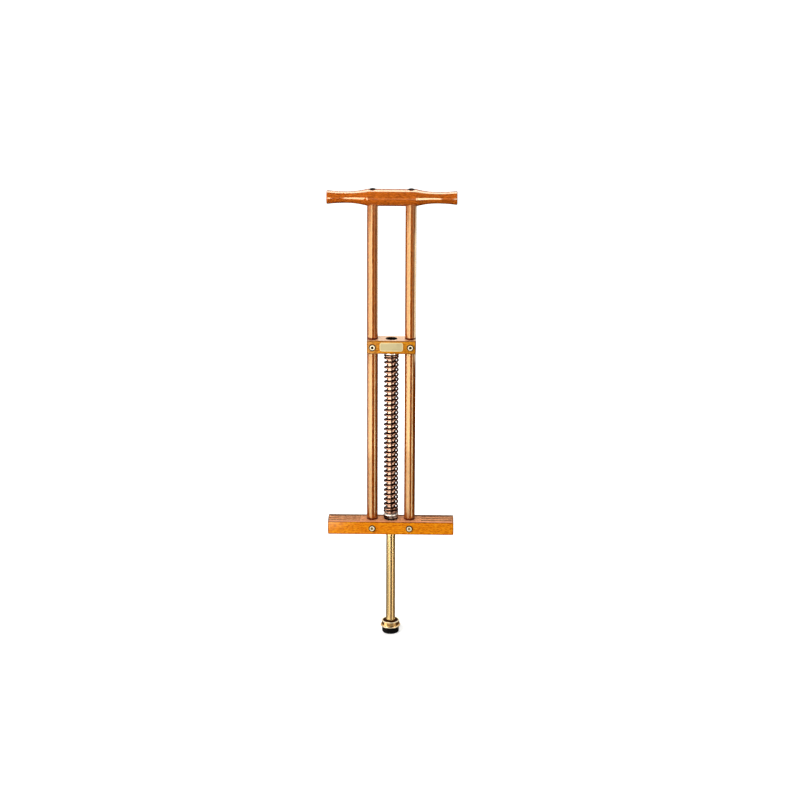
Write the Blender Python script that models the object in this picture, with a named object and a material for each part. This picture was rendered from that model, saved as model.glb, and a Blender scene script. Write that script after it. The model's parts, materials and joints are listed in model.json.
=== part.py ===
"""Wooden pogo stick, in metres, standing on its rubber tip at the origin with +Z up.

X runs along the handlebar, and the front, with the bolt heads and the plate, faces -Y.
"""

import math

import bmesh
import bpy
import numpy as np

# Fits
SEAT_GAP = 0.0003  # between faces that bear on each other or are glued
RUNNING_GAP = 0.0003  # all round the rod where it slides or turns

# Fineness of round pieces
ROUND_SIDES = 28
SMALL_SIDES = 16
ARC_STEPS = 4
EDGE_STEPS = 2
SHARP_ANGLE = math.radians(35)
MERGE_DISTANCE = 0.00001

# Uprights
UPRIGHT_DIAMETER = 0.025
UPRIGHT_SPACING = 0.0853  # axis to axis
UPPER_OPENING = 0.3045  # top of the block to underside of the handlebar

# Handlebar: turned, plain in the middle, with a waisted grip at each end
HANDLE_LENGTH = 0.289
HANDLE_DIAMETER = 0.038  # of the plain part
HANDLE_SOCKET_DEPTH = 0.020  # for the uprights, from its lowest line
PLAIN_LENGTH = 0.108
WAIST_DIAMETER = 0.0254
WAIST_SPACING = 0.202
GRIP_END_DIAMETER = 0.031
GRIP_END_ROUND = 0.002
GRIP_STEPS = 7

# Footrest
FOOTREST_LENGTH = 0.289
FOOTREST_DEPTH = 0.052
FOOTREST_THICKNESS = 0.0305
FOOTREST_EDGE_ROUND = 0.0018
FOOTREST_SOCKET_DEPTH = 0.022
GROOVES_PER_SIDE = 3
GROOVE_SPACING = 0.013
GROOVE_WIDTH = 0.0045
GROOVE_DEPTH = 0.002
GROOVE_START = 0.070  # from the middle of the footrest

# Upper block, as wide as the uprights are apart outside
BLOCK_DEPTH = 0.044
BLOCK_HEIGHT = 0.0305
BLOCK_EDGE_ROUND = 0.0012

# Name plate on the front of the block
PLATE_WIDTH = 0.0525
PLATE_HEIGHT = 0.0205
PLATE_THICKNESS = 0.001
PLATE_CORNER_RADIUS = 0.005
PLATE_RAISE = 0.0016  # of its middle over the middle of the block

# Bolts and sleeve nuts through the block and the footrest
BOLT_DIAMETER = 0.006
BOLT_HEAD_DIAMETER = 0.0155
BOLT_HEAD_HEIGHT = 0.0026
BOLT_HEAD_CHAMFER = 0.0012
BOLT_SETBACK = 0.004  # of the bolt's end from the rear face
SOCKET_ACROSS_FLATS = 0.005
SOCKET_DEPTH = 0.0018
NUT_BARREL_DIAMETER = 0.009
NUT_BARREL_LENGTH = 0.009

# Screws through the handlebar into the uprights
SCREW_DIAMETER = 0.005
SCREW_LENGTH = 0.055
SCREW_HEAD_DIAMETER = 0.0155
SCREW_HEAD_HEIGHT = 0.0028
SCREW_RIM_HEIGHT = 0.0006
SCREW_SEAT_DEPTH = 0.0012  # of the flat seat below the handlebar's highest line
SCREW_SEAT_MARGIN = 0.0005  # round the head

# Rod, its guides and its plug
ROD_DIAMETER = 0.0213
ROD_WALL = 0.002
ROD_EXPOSED = 0.222  # top of the ferrule to underside of the footrest, at rest
ROD_RECESS = 0.012  # of the rod's end below the top of the block, at rest
BUSH_DIAMETER = 0.0262
PLUG_CAP_HEIGHT = 0.002
PLUG_STEM_LENGTH = 0.012

# Stop on the rod, from the footrest up
BUMPER_DIAMETER = 0.032
BUMPER_THICKNESS = 0.003
COLLAR_ACROSS_FLATS = 0.030
COLLAR_HEIGHT = 0.007
COLLAR_TURN = math.radians(17)
PIN_DIAMETER = 0.004
PIN_SETBACK = 0.0005  # of each end of the pin inside the collar's flats
WASHER_THICKNESS = 0.003
LOWER_WASHER_DIAMETER = 0.0345
UPPER_WASHER_DIAMETER = 0.0355

# Spring
SPRING_LENGTH = 0.383  # between its washers, at rest
SPRING_DIAMETER = 0.034
WIRE_DIAMETER = 0.0042
SPRING_TURNS = 35
CLOSED_TURNS = 1  # at each end
CLOSED_GAP = 0.0009  # between closed turns
POINTS_PER_TURN = 10

# Foot
TIP_DIAMETER = 0.039
TIP_HEIGHT = 0.0137
TIP_EDGE_ROUND = 0.003
TIP_STEM_LENGTH = 0.022
TIP_WASHER_THICKNESS = 0.0015
FERRULE_HEIGHT = 0.0154
FERRULE_RIM_DIAMETER = 0.0415
FERRULE_RIM_WALL = 0.004
FERRULE_RIM_BAND = 0.004
FERRULE_RIM_STEP = 0.001
FERRULE_RIM_CHAMFER = 0.0008
FERRULE_CUP_DEPTH = 0.004
FERRULE_NECK_DIAMETER = 0.0392
FERRULE_BEAD_DIAMETER = 0.0468
FERRULE_BEAD_BAND = 0.0015
FERRULE_BEAD_LEVEL = 0.0034  # middle of the bead over the ferrule's lower end
FERRULE_BASE_DIAMETER = 0.0405

# Overrun of a cutter past the face it opens
OVERRUN = 0.005

# Heights, stacked up from the tip
FERRULE_BOTTOM = TIP_HEIGHT + SEAT_GAP
FERRULE_TOP = FERRULE_BOTTOM + FERRULE_HEIGHT
ROD_BOTTOM = FERRULE_BOTTOM + TIP_WASHER_THICKNESS + SEAT_GAP
FOOTREST_BOTTOM = FERRULE_TOP + ROD_EXPOSED
FOOTREST_TOP = FOOTREST_BOTTOM + FOOTREST_THICKNESS
BUMPER_BOTTOM = FOOTREST_TOP + SEAT_GAP
COLLAR_BOTTOM = BUMPER_BOTTOM + BUMPER_THICKNESS + SEAT_GAP
COLLAR_MIDDLE = COLLAR_BOTTOM + COLLAR_HEIGHT / 2
LOWER_WASHER_BOTTOM = COLLAR_BOTTOM + COLLAR_HEIGHT + SEAT_GAP
SPRING_BOTTOM = LOWER_WASHER_BOTTOM + WASHER_THICKNESS + SEAT_GAP
SPRING_TOP = SPRING_BOTTOM + SPRING_LENGTH
UPPER_WASHER_BOTTOM = SPRING_TOP + SEAT_GAP
BLOCK_BOTTOM = UPPER_WASHER_BOTTOM + WASHER_THICKNESS + SEAT_GAP
BLOCK_MIDDLE = BLOCK_BOTTOM + BLOCK_HEIGHT / 2
BLOCK_TOP = BLOCK_BOTTOM + BLOCK_HEIGHT
ROD_TOP = BLOCK_TOP - ROD_RECESS
HANDLE_BOTTOM = BLOCK_TOP + UPPER_OPENING
HANDLE_MIDDLE = HANDLE_BOTTOM + HANDLE_DIAMETER / 2
HANDLE_TOP = HANDLE_BOTTOM + HANDLE_DIAMETER
SCREW_SEAT = HANDLE_TOP - SCREW_SEAT_DEPTH
FOOTREST_MIDDLE = FOOTREST_BOTTOM + FOOTREST_THICKNESS / 2

SIDES = {"left": -UPRIGHT_SPACING / 2, "right": UPRIGHT_SPACING / 2}
TO_FRONT = (math.pi / 2, 0, 0)  # turns a piece's own +Z to the front
TO_BACK = (-math.pi / 2, 0, 0)
CROSSWISE = (0, math.pi / 2, 0)


def clear_scene():
    for obj in list(bpy.data.objects):
        bpy.data.objects.remove(obj, do_unlink=True)


def linear(channel):
    """An 8-bit sRGB channel as the linear value that a shader takes."""
    share = channel / 255
    return share / 12.92 if share <= 0.04045 else ((share + 0.055) / 1.055) ** 2.4


def make_material(name, colour, roughness, metallic):
    material = bpy.data.materials.new(name)
    material.use_nodes = True
    shader = material.node_tree.nodes["Principled BSDF"]
    shader.inputs["Base Color"].default_value = (*map(linear, colour), 1)
    shader.inputs["Roughness"].default_value = roughness
    shader.inputs["Metallic"].default_value = metallic
    return material


def make_materials():
    return {
        "varnished_beech": make_material("varnished_beech", (218, 128, 40), 0.32, 0),
        "varnished_dowel": make_material("varnished_dowel", (212, 150, 88), 0.3, 0),
        "nickel_steel": make_material("nickel_steel", (206, 196, 176), 0.25, 1),
        "spring_steel": make_material("spring_steel", (168, 150, 134), 0.25, 1),
        "zinc_washer": make_material("zinc_washer", (214, 206, 194), 0.3, 1),
        "golden_zinc": make_material("golden_zinc", (214, 170, 98), 0.25, 1),
        "plate_brass": make_material("plate_brass", (205, 186, 130), 0.35, 1),
        "ferrule_brass": make_material("ferrule_brass", (196, 150, 92), 0.3, 1),
        "black_nylon": make_material("black_nylon", (18, 17, 17), 0.5, 0),
        "black_rubber": make_material("black_rubber", (12, 11, 12), 0.75, 0),
    }


def make_empty(name):
    empty = bpy.data.objects.new(name, None)
    bpy.context.scene.collection.objects.link(empty)
    return empty


def add_object(name, data):
    obj = bpy.data.objects.new(name, data)
    bpy.context.scene.collection.objects.link(obj)
    return obj


def from_bmesh(name, bm):
    bmesh.ops.recalc_face_normals(bm, faces=bm.faces[:])
    mesh = bpy.data.meshes.new(name)
    bm.to_mesh(mesh)
    bm.free()
    return add_object(name, mesh)


def place(obj, location, rotation=(0, 0, 0)):
    obj.location = location
    obj.rotation_euler = rotation
    return obj


def clear_radius(diameter, gap, sides):
    """Corner radius of a faceted hole whose flats stay clear of a round piece by the gap."""
    return (diameter / 2 + gap) / math.cos(math.pi / sides)


def turned(name, profile, sides=ROUND_SIDES, closed=False):
    """A piece turned about Z, from (radius, height) points that run down its outer side."""
    points = [(radius, 0, height) for radius, height in profile]
    edges = [(i, i + 1) for i in range(len(points) - 1)]
    if closed:
        edges.append((len(points) - 1, 0))
    mesh = bpy.data.meshes.new(name)
    mesh.from_pydata(points, edges, [])
    obj = add_object(name, mesh)
    screw = obj.modifiers.new("Turn", "SCREW")
    screw.axis = "Z"
    screw.steps = sides
    screw.render_steps = sides
    screw.use_merge_vertices = True
    screw.merge_threshold = MERGE_DISTANCE
    return obj


def ring_profile(outer, inner, height):
    return [(inner, height), (outer, height), (outer, 0), (inner, 0)]


def ring(name, diameter, hole_radius, height):
    """A washer, bush or tube standing on its own origin."""
    return turned(name, ring_profile(diameter / 2, hole_radius, height), closed=True)


def rounded_box(name, size, radius):
    bm = bmesh.new()
    bmesh.ops.create_cube(bm, size=1)
    bmesh.ops.scale(bm, vec=size, verts=bm.verts[:])
    bmesh.ops.bevel(bm, geom=bm.edges[:], offset=radius, segments=EDGE_STEPS, affect="EDGES")
    return from_bmesh(name, bm)


def prism(name, outline, height):
    """An outline in XY, raised along Z from its own origin."""
    bm = bmesh.new()
    face = bm.faces.new([bm.verts.new((x, y, 0)) for x, y in outline])
    raised = bmesh.ops.extrude_face_region(bm, geom=[face])["geom"]
    top = [item for item in raised if isinstance(item, bmesh.types.BMVert)]
    bmesh.ops.translate(bm, vec=(0, 0, height), verts=top)
    return from_bmesh(name, bm)


def arc(centre, radius, start, end, steps):
    angles = np.linspace(start, end, steps + 1)
    return [(centre[0] + radius * math.cos(a), centre[1] + radius * math.sin(a)) for a in angles]


def hexagon(across_flats):
    """A six-sided outline with a flat towards -Y."""
    corner = across_flats / 2 / math.cos(math.pi / 6)
    return arc((0, 0), corner, 0, 5 * math.pi / 3, 5)


def hole(radius, length, sides):
    """A round cutter that runs both ways along Z from its own origin."""
    bm = bmesh.new()
    bmesh.ops.create_cone(
        bm, cap_ends=True, segments=sides, radius1=radius, radius2=radius, depth=length
    )
    return from_bmesh("hole", bm)


def apply_modifiers(obj):
    bpy.context.view_layer.update()
    graph = bpy.context.evaluated_depsgraph_get()
    mesh = bpy.data.meshes.new_from_object(obj.evaluated_get(graph))
    obj.modifiers.clear()
    obj.data = mesh


def cut(obj, cutters):
    for cutter in cutters:
        cutter.hide_render = True
        cutter.display_type = "WIRE"
        boolean = obj.modifiers.new("Cut", "BOOLEAN")
        boolean.operation = "DIFFERENCE"
        boolean.solver = "EXACT"
        boolean.object = cutter
    apply_modifiers(obj)


def remove_cutters():
    for obj in list(bpy.data.objects):
        if obj.hide_render:
            bpy.data.objects.remove(obj, do_unlink=True)


def finish(obj, material, parent):
    """Applies what is left, shades the round faces smooth and hangs the piece on its body."""
    apply_modifiers(obj)
    obj.data.shade_smooth()
    obj.data.set_sharp_from_angle(angle=SHARP_ANGLE)
    obj.data.materials.clear()
    obj.data.materials.append(material)
    obj.parent = parent
    return obj


def handle_radius(along):
    """Radius of the handlebar's grip at a distance from the handlebar's middle."""
    waist_at = WAIST_SPACING / 2
    waist = WAIST_DIAMETER / 2
    if along < waist_at:
        share = (waist_at - along) / (waist_at - PLAIN_LENGTH / 2)
        return waist + (HANDLE_DIAMETER / 2 - waist) * share**2
    share = (along - waist_at) / (HANDLE_LENGTH / 2 - waist_at)
    return waist + (GRIP_END_DIAMETER / 2 - waist) * share**2


def handle_profile():
    """(radius, place along the handlebar) from one end to the other."""
    half = HANDLE_LENGTH / 2
    waist_at = WAIST_SPACING / 2
    round_from = half - GRIP_END_ROUND
    round_middle = (handle_radius(round_from) - GRIP_END_ROUND, round_from)
    profile = [(0, half)]
    profile += arc(round_middle, GRIP_END_ROUND, math.pi / 2, 0, EDGE_STEPS)
    flare = np.linspace(round_from, waist_at, GRIP_STEPS)
    taper = np.linspace(waist_at, PLAIN_LENGTH / 2, GRIP_STEPS)
    profile += [(handle_radius(along), along) for along in [*flare[1:], *taper[1:]]]
    return profile + [(radius, -along) for radius, along in reversed(profile)]


def bolt_cutters(x, z, depth):
    """The bolt's clear hole and the wider hole for its nut, through a piece this deep."""
    bolt_hole = hole(clear_radius(BOLT_DIAMETER, SEAT_GAP, SMALL_SIDES), depth + 2 * OVERRUN, SMALL_SIDES)
    place(bolt_hole, (x, 0, z), TO_FRONT)
    barrel_depth = NUT_BARREL_LENGTH + SEAT_GAP
    barrel_radius = clear_radius(NUT_BARREL_DIAMETER, SEAT_GAP, SMALL_SIDES)
    barrel_hole = hole(barrel_radius, barrel_depth + OVERRUN, SMALL_SIDES)
    place(barrel_hole, (x, (depth - barrel_depth + OVERRUN) / 2, z), TO_FRONT)
    return [bolt_hole, barrel_hole]


def upright_cutter(x, low, high, diameter, gap, sides):
    """A standing round hole between two heights, clear of a piece of this diameter."""
    cutter = hole(clear_radius(diameter, gap, sides), high - low, sides)
    return place(cutter, (x, 0, (low + high) / 2))


def screw_cutter(x):
    """The screw's clear hole, from above the handlebar to just past the screw's point."""
    low = SCREW_SEAT - SCREW_LENGTH
    return upright_cutter(x, low, HANDLE_TOP + OVERRUN, SCREW_DIAMETER, SEAT_GAP, SMALL_SIDES)


def screw_seat_cutter(x):
    """The flat seat for the screw's head."""
    high = HANDLE_TOP + OVERRUN
    return upright_cutter(x, SCREW_SEAT, high, SCREW_HEAD_DIAMETER, SCREW_SEAT_MARGIN, SMALL_SIDES)


def upright_hole(x, low, high):
    return upright_cutter(x, low, high, UPRIGHT_DIAMETER, SEAT_GAP, ROUND_SIDES)


def bush_hole(low, high):
    return upright_cutter(0, low - OVERRUN, high + OVERRUN, BUSH_DIAMETER, SEAT_GAP, ROUND_SIDES)


def rod_hole_radius(gap):
    return clear_radius(ROD_DIAMETER, gap, ROUND_SIDES)


def make_handlebar():
    bar = place(turned("handlebar", handle_profile()), (0, 0, HANDLE_MIDDLE), CROSSWISE)
    for x in SIDES.values():
        socket = upright_hole(x, HANDLE_BOTTOM - OVERRUN, HANDLE_BOTTOM + HANDLE_SOCKET_DEPTH)
        cut(bar, [socket, screw_cutter(x), screw_seat_cutter(x)])
    return bar


def make_upright(side):
    low = FOOTREST_TOP - FOOTREST_SOCKET_DEPTH + SEAT_GAP
    high = HANDLE_BOTTOM + HANDLE_SOCKET_DEPTH - SEAT_GAP
    radius = UPRIGHT_DIAMETER / 2
    x = SIDES[side]
    upright = turned(f"{side}_upright", [(0, high - low), (radius, high - low), (radius, 0), (0, 0)])
    place(upright, (x, 0, low))
    cutters = bolt_cutters(x, BLOCK_MIDDLE, BLOCK_DEPTH)
    cutters += bolt_cutters(x, FOOTREST_MIDDLE, FOOTREST_DEPTH)
    cut(upright, cutters + [screw_cutter(x)])
    return upright


def groove_cutters():
    length = FOOTREST_LENGTH / 2 - GROOVE_START + OVERRUN
    middle = GROOVE_START + length / 2
    height = GROOVE_DEPTH + OVERRUN
    cutters = []
    for direction in (-1, 1):
        for i in range(GROOVES_PER_SIDE):
            y = (i - (GROOVES_PER_SIDE - 1) / 2) * GROOVE_SPACING
            bm = bmesh.new()
            bmesh.ops.create_cube(bm, size=1)
            bmesh.ops.scale(bm, vec=(length, GROOVE_WIDTH, height), verts=bm.verts[:])
            groove = from_bmesh("groove", bm)
            cutters.append(place(groove, (direction * middle, y, FOOTREST_TOP - GROOVE_DEPTH + height / 2)))
    return cutters


def make_footrest():
    size = (FOOTREST_LENGTH, FOOTREST_DEPTH, FOOTREST_THICKNESS)
    plank = place(rounded_box("footrest", size, FOOTREST_EDGE_ROUND), (0, 0, FOOTREST_MIDDLE))
    cutters = groove_cutters()
    cutters.append(bush_hole(FOOTREST_BOTTOM, FOOTREST_TOP))
    for x in SIDES.values():
        cutters.append(upright_hole(x, FOOTREST_TOP - FOOTREST_SOCKET_DEPTH, FOOTREST_TOP + OVERRUN))
        cutters += bolt_cutters(x, FOOTREST_MIDDLE, FOOTREST_DEPTH)
    cut(plank, cutters)
    return plank


def notch_cutter(x):
    """The slot, open at the block's end, that the upright lies in."""
    radius = clear_radius(UPRIGHT_DIAMETER, SEAT_GAP, ROUND_SIDES)
    outward = math.copysign(1, x)
    reach = UPRIGHT_DIAMETER / 2 + OVERRUN
    outline = arc((0, 0), radius, math.pi / 2, 3 * math.pi / 2, ROUND_SIDES // 2)
    outline += [(reach, -radius), (reach, radius)]
    height = BLOCK_HEIGHT + 2 * OVERRUN
    notch = prism("notch", [(outward * along, across) for along, across in outline], height)
    return place(notch, (x, 0, BLOCK_BOTTOM - OVERRUN))


def make_upper_block():
    size = (UPRIGHT_SPACING + UPRIGHT_DIAMETER, BLOCK_DEPTH, BLOCK_HEIGHT)
    block = place(rounded_box("upper_block", size, BLOCK_EDGE_ROUND), (0, 0, BLOCK_MIDDLE))
    cutters = [bush_hole(BLOCK_BOTTOM, BLOCK_TOP)]
    for x in SIDES.values():
        cutters.append(notch_cutter(x))
        cutters += bolt_cutters(x, BLOCK_MIDDLE, BLOCK_DEPTH)
    cut(block, cutters)
    return block


def make_name_plate():
    across = PLATE_WIDTH / 2 - PLATE_CORNER_RADIUS
    up = PLATE_HEIGHT / 2 - PLATE_CORNER_RADIUS
    outline = []
    for quarter, centre in enumerate([(across, up), (-across, up), (-across, -up), (across, -up)]):
        start = quarter * math.pi / 2
        outline += arc(centre, PLATE_CORNER_RADIUS, start, start + math.pi / 2, ARC_STEPS)
    plate = prism("name_plate", outline, PLATE_THICKNESS)
    return place(plate, (0, -BLOCK_DEPTH / 2 - SEAT_GAP, BLOCK_MIDDLE + PLATE_RAISE), TO_FRONT)


def key_socket(head_height):
    socket = prism("socket", hexagon(SOCKET_ACROSS_FLATS), SOCKET_DEPTH + OVERRUN)
    return place(socket, (0, 0, head_height - SOCKET_DEPTH))


def make_bolt(name, x, z, depth):
    """A round-headed bolt with a hexagon socket, its own +Z out of the head."""
    head = BOLT_HEAD_DIAMETER / 2
    shank = BOLT_DIAMETER / 2
    length = depth - BOLT_SETBACK
    profile = [
        (0, BOLT_HEAD_HEIGHT),
        (head - BOLT_HEAD_CHAMFER, BOLT_HEAD_HEIGHT),
        (head, BOLT_HEAD_HEIGHT - BOLT_HEAD_CHAMFER),
        (head, 0),
        (shank, 0),
        (shank, -length),
        (0, -length),
    ]
    bolt = turned(name, profile, SMALL_SIDES)
    cut(bolt, [key_socket(BOLT_HEAD_HEIGHT)])
    return place(bolt, (x, -depth / 2 - SEAT_GAP, z), TO_FRONT)


def make_nut(name, x, z, depth):
    """A sleeve nut whose barrel takes the end of the bolt, its own +Z out of the head."""
    head = BOLT_HEAD_DIAMETER / 2
    barrel = NUT_BARREL_DIAMETER / 2
    thread = clear_radius(BOLT_DIAMETER, SEAT_GAP, SMALL_SIDES)
    profile = [
        (0, BOLT_HEAD_HEIGHT),
        (head - BOLT_HEAD_CHAMFER, BOLT_HEAD_HEIGHT),
        (head, BOLT_HEAD_HEIGHT - BOLT_HEAD_CHAMFER),
        (head, 0),
        (barrel, 0),
        (barrel, -NUT_BARREL_LENGTH),
        (thread, -NUT_BARREL_LENGTH),
        (thread, 0),
        (0, 0),
    ]
    nut = turned(name, profile, SMALL_SIDES)
    cut(nut, [key_socket(BOLT_HEAD_HEIGHT)])
    return place(nut, (x, depth / 2 + SEAT_GAP, z), TO_BACK)


def make_screw(side):
    """A dome-headed screw down through the handlebar, its own +Z out of the head."""
    head = SCREW_HEAD_DIAMETER / 2
    shank = SCREW_DIAMETER / 2
    rise = SCREW_HEAD_HEIGHT - SCREW_RIM_HEIGHT
    dome_radius = (head**2 + rise**2) / (2 * rise)
    dome_centre = (0, SCREW_HEAD_HEIGHT - dome_radius)
    spread = math.asin(head / dome_radius)
    profile = arc(dome_centre, dome_radius, math.pi / 2, math.pi / 2 - spread, ARC_STEPS)
    profile += [(head, 0), (shank, 0), (shank, shank - SCREW_LENGTH), (0, -SCREW_LENGTH)]
    profile[0] = (0, SCREW_HEAD_HEIGHT)
    screw = turned(f"handlebar_screw_{side}", profile, SMALL_SIDES)
    cut(screw, [key_socket(SCREW_HEAD_HEIGHT)])
    return place(screw, (SIDES[side], 0, SCREW_SEAT + SEAT_GAP))


def make_bush(name, bottom, height):
    bush = ring(name, BUSH_DIAMETER, rod_hole_radius(RUNNING_GAP), height)
    return place(bush, (0, 0, bottom))


def make_washer(name, diameter, bottom):
    washer = ring(name, diameter, rod_hole_radius(RUNNING_GAP), WASHER_THICKNESS)
    return place(washer, (0, 0, bottom))


def pin_hole():
    radius = clear_radius(PIN_DIAMETER, SEAT_GAP, SMALL_SIDES)
    cutter = hole(radius, COLLAR_ACROSS_FLATS + 2 * OVERRUN, SMALL_SIDES)
    return place(cutter, (0, 0, COLLAR_MIDDLE), (*TO_FRONT[:2], COLLAR_TURN))


def make_stop_collar():
    collar = prism("stop_collar", hexagon(COLLAR_ACROSS_FLATS), COLLAR_HEIGHT)
    place(collar, (0, 0, COLLAR_BOTTOM), (0, 0, COLLAR_TURN))
    bore = hole(rod_hole_radius(SEAT_GAP), COLLAR_HEIGHT + 2 * OVERRUN, ROUND_SIDES)
    cut(collar, [place(bore, (0, 0, COLLAR_MIDDLE)), pin_hole()])
    return collar


def make_stop_pin():
    half = COLLAR_ACROSS_FLATS / 2 - PIN_SETBACK
    radius = PIN_DIAMETER / 2
    pin = turned("stop_pin", [(0, half), (radius, half), (radius, -half), (0, -half)], SMALL_SIDES)
    return place(pin, (0, 0, COLLAR_MIDDLE), (*TO_FRONT[:2], COLLAR_TURN))


def make_stop_bumper():
    bumper = ring("stop_bumper", BUMPER_DIAMETER, rod_hole_radius(SEAT_GAP), BUMPER_THICKNESS)
    return place(bumper, (0, 0, BUMPER_BOTTOM))


def rod_bore():
    return ROD_DIAMETER / 2 - ROD_WALL


def make_plunger_rod():
    rod = ring("plunger_rod", ROD_DIAMETER, rod_bore(), ROD_TOP - ROD_BOTTOM)
    place(rod, (0, 0, ROD_BOTTOM))
    cut(rod, [pin_hole()])
    return rod


def stem_radius():
    """Of the plug's and the tip's stems, whose corners clear the flats of the rod's bore."""
    return rod_bore() * math.cos(math.pi / ROUND_SIDES) - SEAT_GAP


def make_rod_end_plug():
    cap = ROD_DIAMETER / 2
    stem = stem_radius()
    profile = [
        (0, PLUG_CAP_HEIGHT),
        (cap, PLUG_CAP_HEIGHT),
        (cap, 0),
        (stem, 0),
        (stem, -PLUG_STEM_LENGTH),
        (0, -PLUG_STEM_LENGTH),
    ]
    return place(turned("rod_end_plug", profile), (0, 0, ROD_TOP + SEAT_GAP))


def spring_path():
    """Centreline of the wire from the lower end up, right-handed, with closed end turns."""
    turns = np.arange(SPRING_TURNS * POINTS_PER_TURN + 1) / POINTS_PER_TURN
    middles = (turns[1:] + turns[:-1]) / 2
    from_end = np.minimum(middles, SPRING_TURNS - middles)
    openness = np.clip(from_end - CLOSED_TURNS, 0, 1)
    closed_pitch = WIRE_DIAMETER + CLOSED_GAP
    spare = SPRING_LENGTH - WIRE_DIAMETER - closed_pitch * SPRING_TURNS
    rise = closed_pitch / POINTS_PER_TURN + spare * openness / openness.sum()
    height = WIRE_DIAMETER / 2 + np.concatenate([[0], np.cumsum(rise)])
    radius = (SPRING_DIAMETER - WIRE_DIAMETER) / 2
    angle = 2 * math.pi * turns
    return np.column_stack([radius * np.cos(angle), radius * np.sin(angle), height])


def least_gap(path):
    """Least clear distance between stretches of the wire at least half a turn apart."""
    index = np.arange(len(path))
    apart = np.linalg.norm(path[:, None] - path[None], axis=2)
    separate = np.abs(index[:, None] - index[None]) >= POINTS_PER_TURN // 2
    return apart[separate].min() - WIRE_DIAMETER


def make_spring(material, parent):
    path = spring_path()
    print(f"spring: least gap to itself {least_gap(path) * 1000:.2f} mm")
    curve = bpy.data.curves.new("spring", "CURVE")
    curve.dimensions = "3D"
    curve.twist_mode = "Z_UP"
    curve.bevel_depth = WIRE_DIAMETER / 2
    curve.bevel_resolution = 1
    curve.use_fill_caps = True
    wire = curve.splines.new("POLY")
    wire.points.add(len(path) - 1)
    for point, centre in zip(wire.points, path):
        point.co = (*centre, 1)
    wire.use_smooth = True
    curve.materials.append(material)
    spring = place(add_object("spring", curve), (0, 0, SPRING_BOTTOM))
    spring.parent = parent
    return spring


def make_ferrule():
    rim = FERRULE_RIM_DIAMETER / 2
    neck = FERRULE_NECK_DIAMETER / 2
    bead = FERRULE_BEAD_DIAMETER / 2
    cup = rim - FERRULE_RIM_WALL
    bore = rod_hole_radius(SEAT_GAP)
    rim_low = FERRULE_HEIGHT - FERRULE_RIM_BAND
    cup_floor = FERRULE_HEIGHT - FERRULE_CUP_DEPTH
    profile = [
        (cup, FERRULE_HEIGHT),
        (rim - FERRULE_RIM_CHAMFER, FERRULE_HEIGHT),
        (rim, FERRULE_HEIGHT - FERRULE_RIM_CHAMFER),
        (rim, rim_low),
        (neck, rim_low - FERRULE_RIM_STEP),
        (neck, (rim_low + FERRULE_BEAD_LEVEL) / 2),
        (bead, FERRULE_BEAD_LEVEL + FERRULE_BEAD_BAND / 2),
        (bead, FERRULE_BEAD_LEVEL - FERRULE_BEAD_BAND / 2),
        (FERRULE_BASE_DIAMETER / 2, 0),
        (bore, 0),
        (bore, cup_floor),
        (cup, cup_floor),
    ]
    return place(turned("foot_ferrule", profile, closed=True), (0, 0, FERRULE_BOTTOM))


def make_rubber_tip():
    tip = TIP_DIAMETER / 2
    stem = stem_radius()
    stem_top = TIP_HEIGHT + TIP_STEM_LENGTH
    rounding = arc((tip - TIP_EDGE_ROUND, TIP_EDGE_ROUND), TIP_EDGE_ROUND, 0, -math.pi / 2, ARC_STEPS)
    profile = [(0, stem_top), (stem, stem_top), (stem, TIP_HEIGHT), (tip, TIP_HEIGHT)]
    profile += rounding[:-1]
    profile += [(tip - TIP_EDGE_ROUND, 0), (0, 0)]
    return turned("rubber_tip", profile)


def make_tip_washer():
    stem_hole = clear_radius(2 * stem_radius(), SEAT_GAP, ROUND_SIDES)
    washer = ring("tip_washer", ROD_DIAMETER, stem_hole, TIP_WASHER_THICKNESS)
    return place(washer, (0, 0, FERRULE_BOTTOM))


def build_frame(materials):
    frame = make_empty("frame_body")
    finish(make_handlebar(), materials["varnished_beech"], frame)
    finish(make_upper_block(), materials["varnished_beech"], frame)
    finish(make_footrest(), materials["varnished_beech"], frame)
    steel = materials["nickel_steel"]
    crossings = [("block", BLOCK_MIDDLE, BLOCK_DEPTH), ("footrest", FOOTREST_MIDDLE, FOOTREST_DEPTH)]
    for side, x in SIDES.items():
        finish(make_upright(side), materials["varnished_dowel"], frame)
        finish(make_screw(side), steel, frame)
        for host, z, depth in crossings:
            finish(make_bolt(f"{host}_bolt_{side}", x, z, depth), steel, frame)
            finish(make_nut(f"{host}_nut_{side}", x, z, depth), steel, frame)
    finish(make_name_plate(), materials["plate_brass"], frame)
    nylon = materials["black_nylon"]
    finish(make_bush("upper_guide_bush", BLOCK_BOTTOM, BLOCK_HEIGHT), nylon, frame)
    finish(make_bush("lower_guide_bush", FOOTREST_BOTTOM, FOOTREST_THICKNESS), nylon, frame)
    upper_washer = make_washer("upper_spring_washer", UPPER_WASHER_DIAMETER, UPPER_WASHER_BOTTOM)
    finish(upper_washer, materials["zinc_washer"], frame)
    make_spring(materials["spring_steel"], frame)


def build_plunger(materials):
    seat = make_empty("spring_seat_body")
    lower_washer = make_washer("lower_spring_washer", LOWER_WASHER_DIAMETER, LOWER_WASHER_BOTTOM)
    finish(lower_washer, materials["zinc_washer"], seat)
    plunger = make_empty("plunger_body")
    plunger.parent = seat
    finish(make_plunger_rod(), materials["golden_zinc"], plunger)
    finish(make_rod_end_plug(), materials["black_nylon"], plunger)
    finish(make_stop_collar(), materials["nickel_steel"], plunger)
    finish(make_stop_pin(), materials["nickel_steel"], plunger)
    finish(make_stop_bumper(), materials["black_rubber"], plunger)
    finish(make_ferrule(), materials["ferrule_brass"], plunger)
    finish(make_tip_washer(), materials["zinc_washer"], plunger)
    finish(make_rubber_tip(), materials["black_rubber"], plunger)


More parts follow.
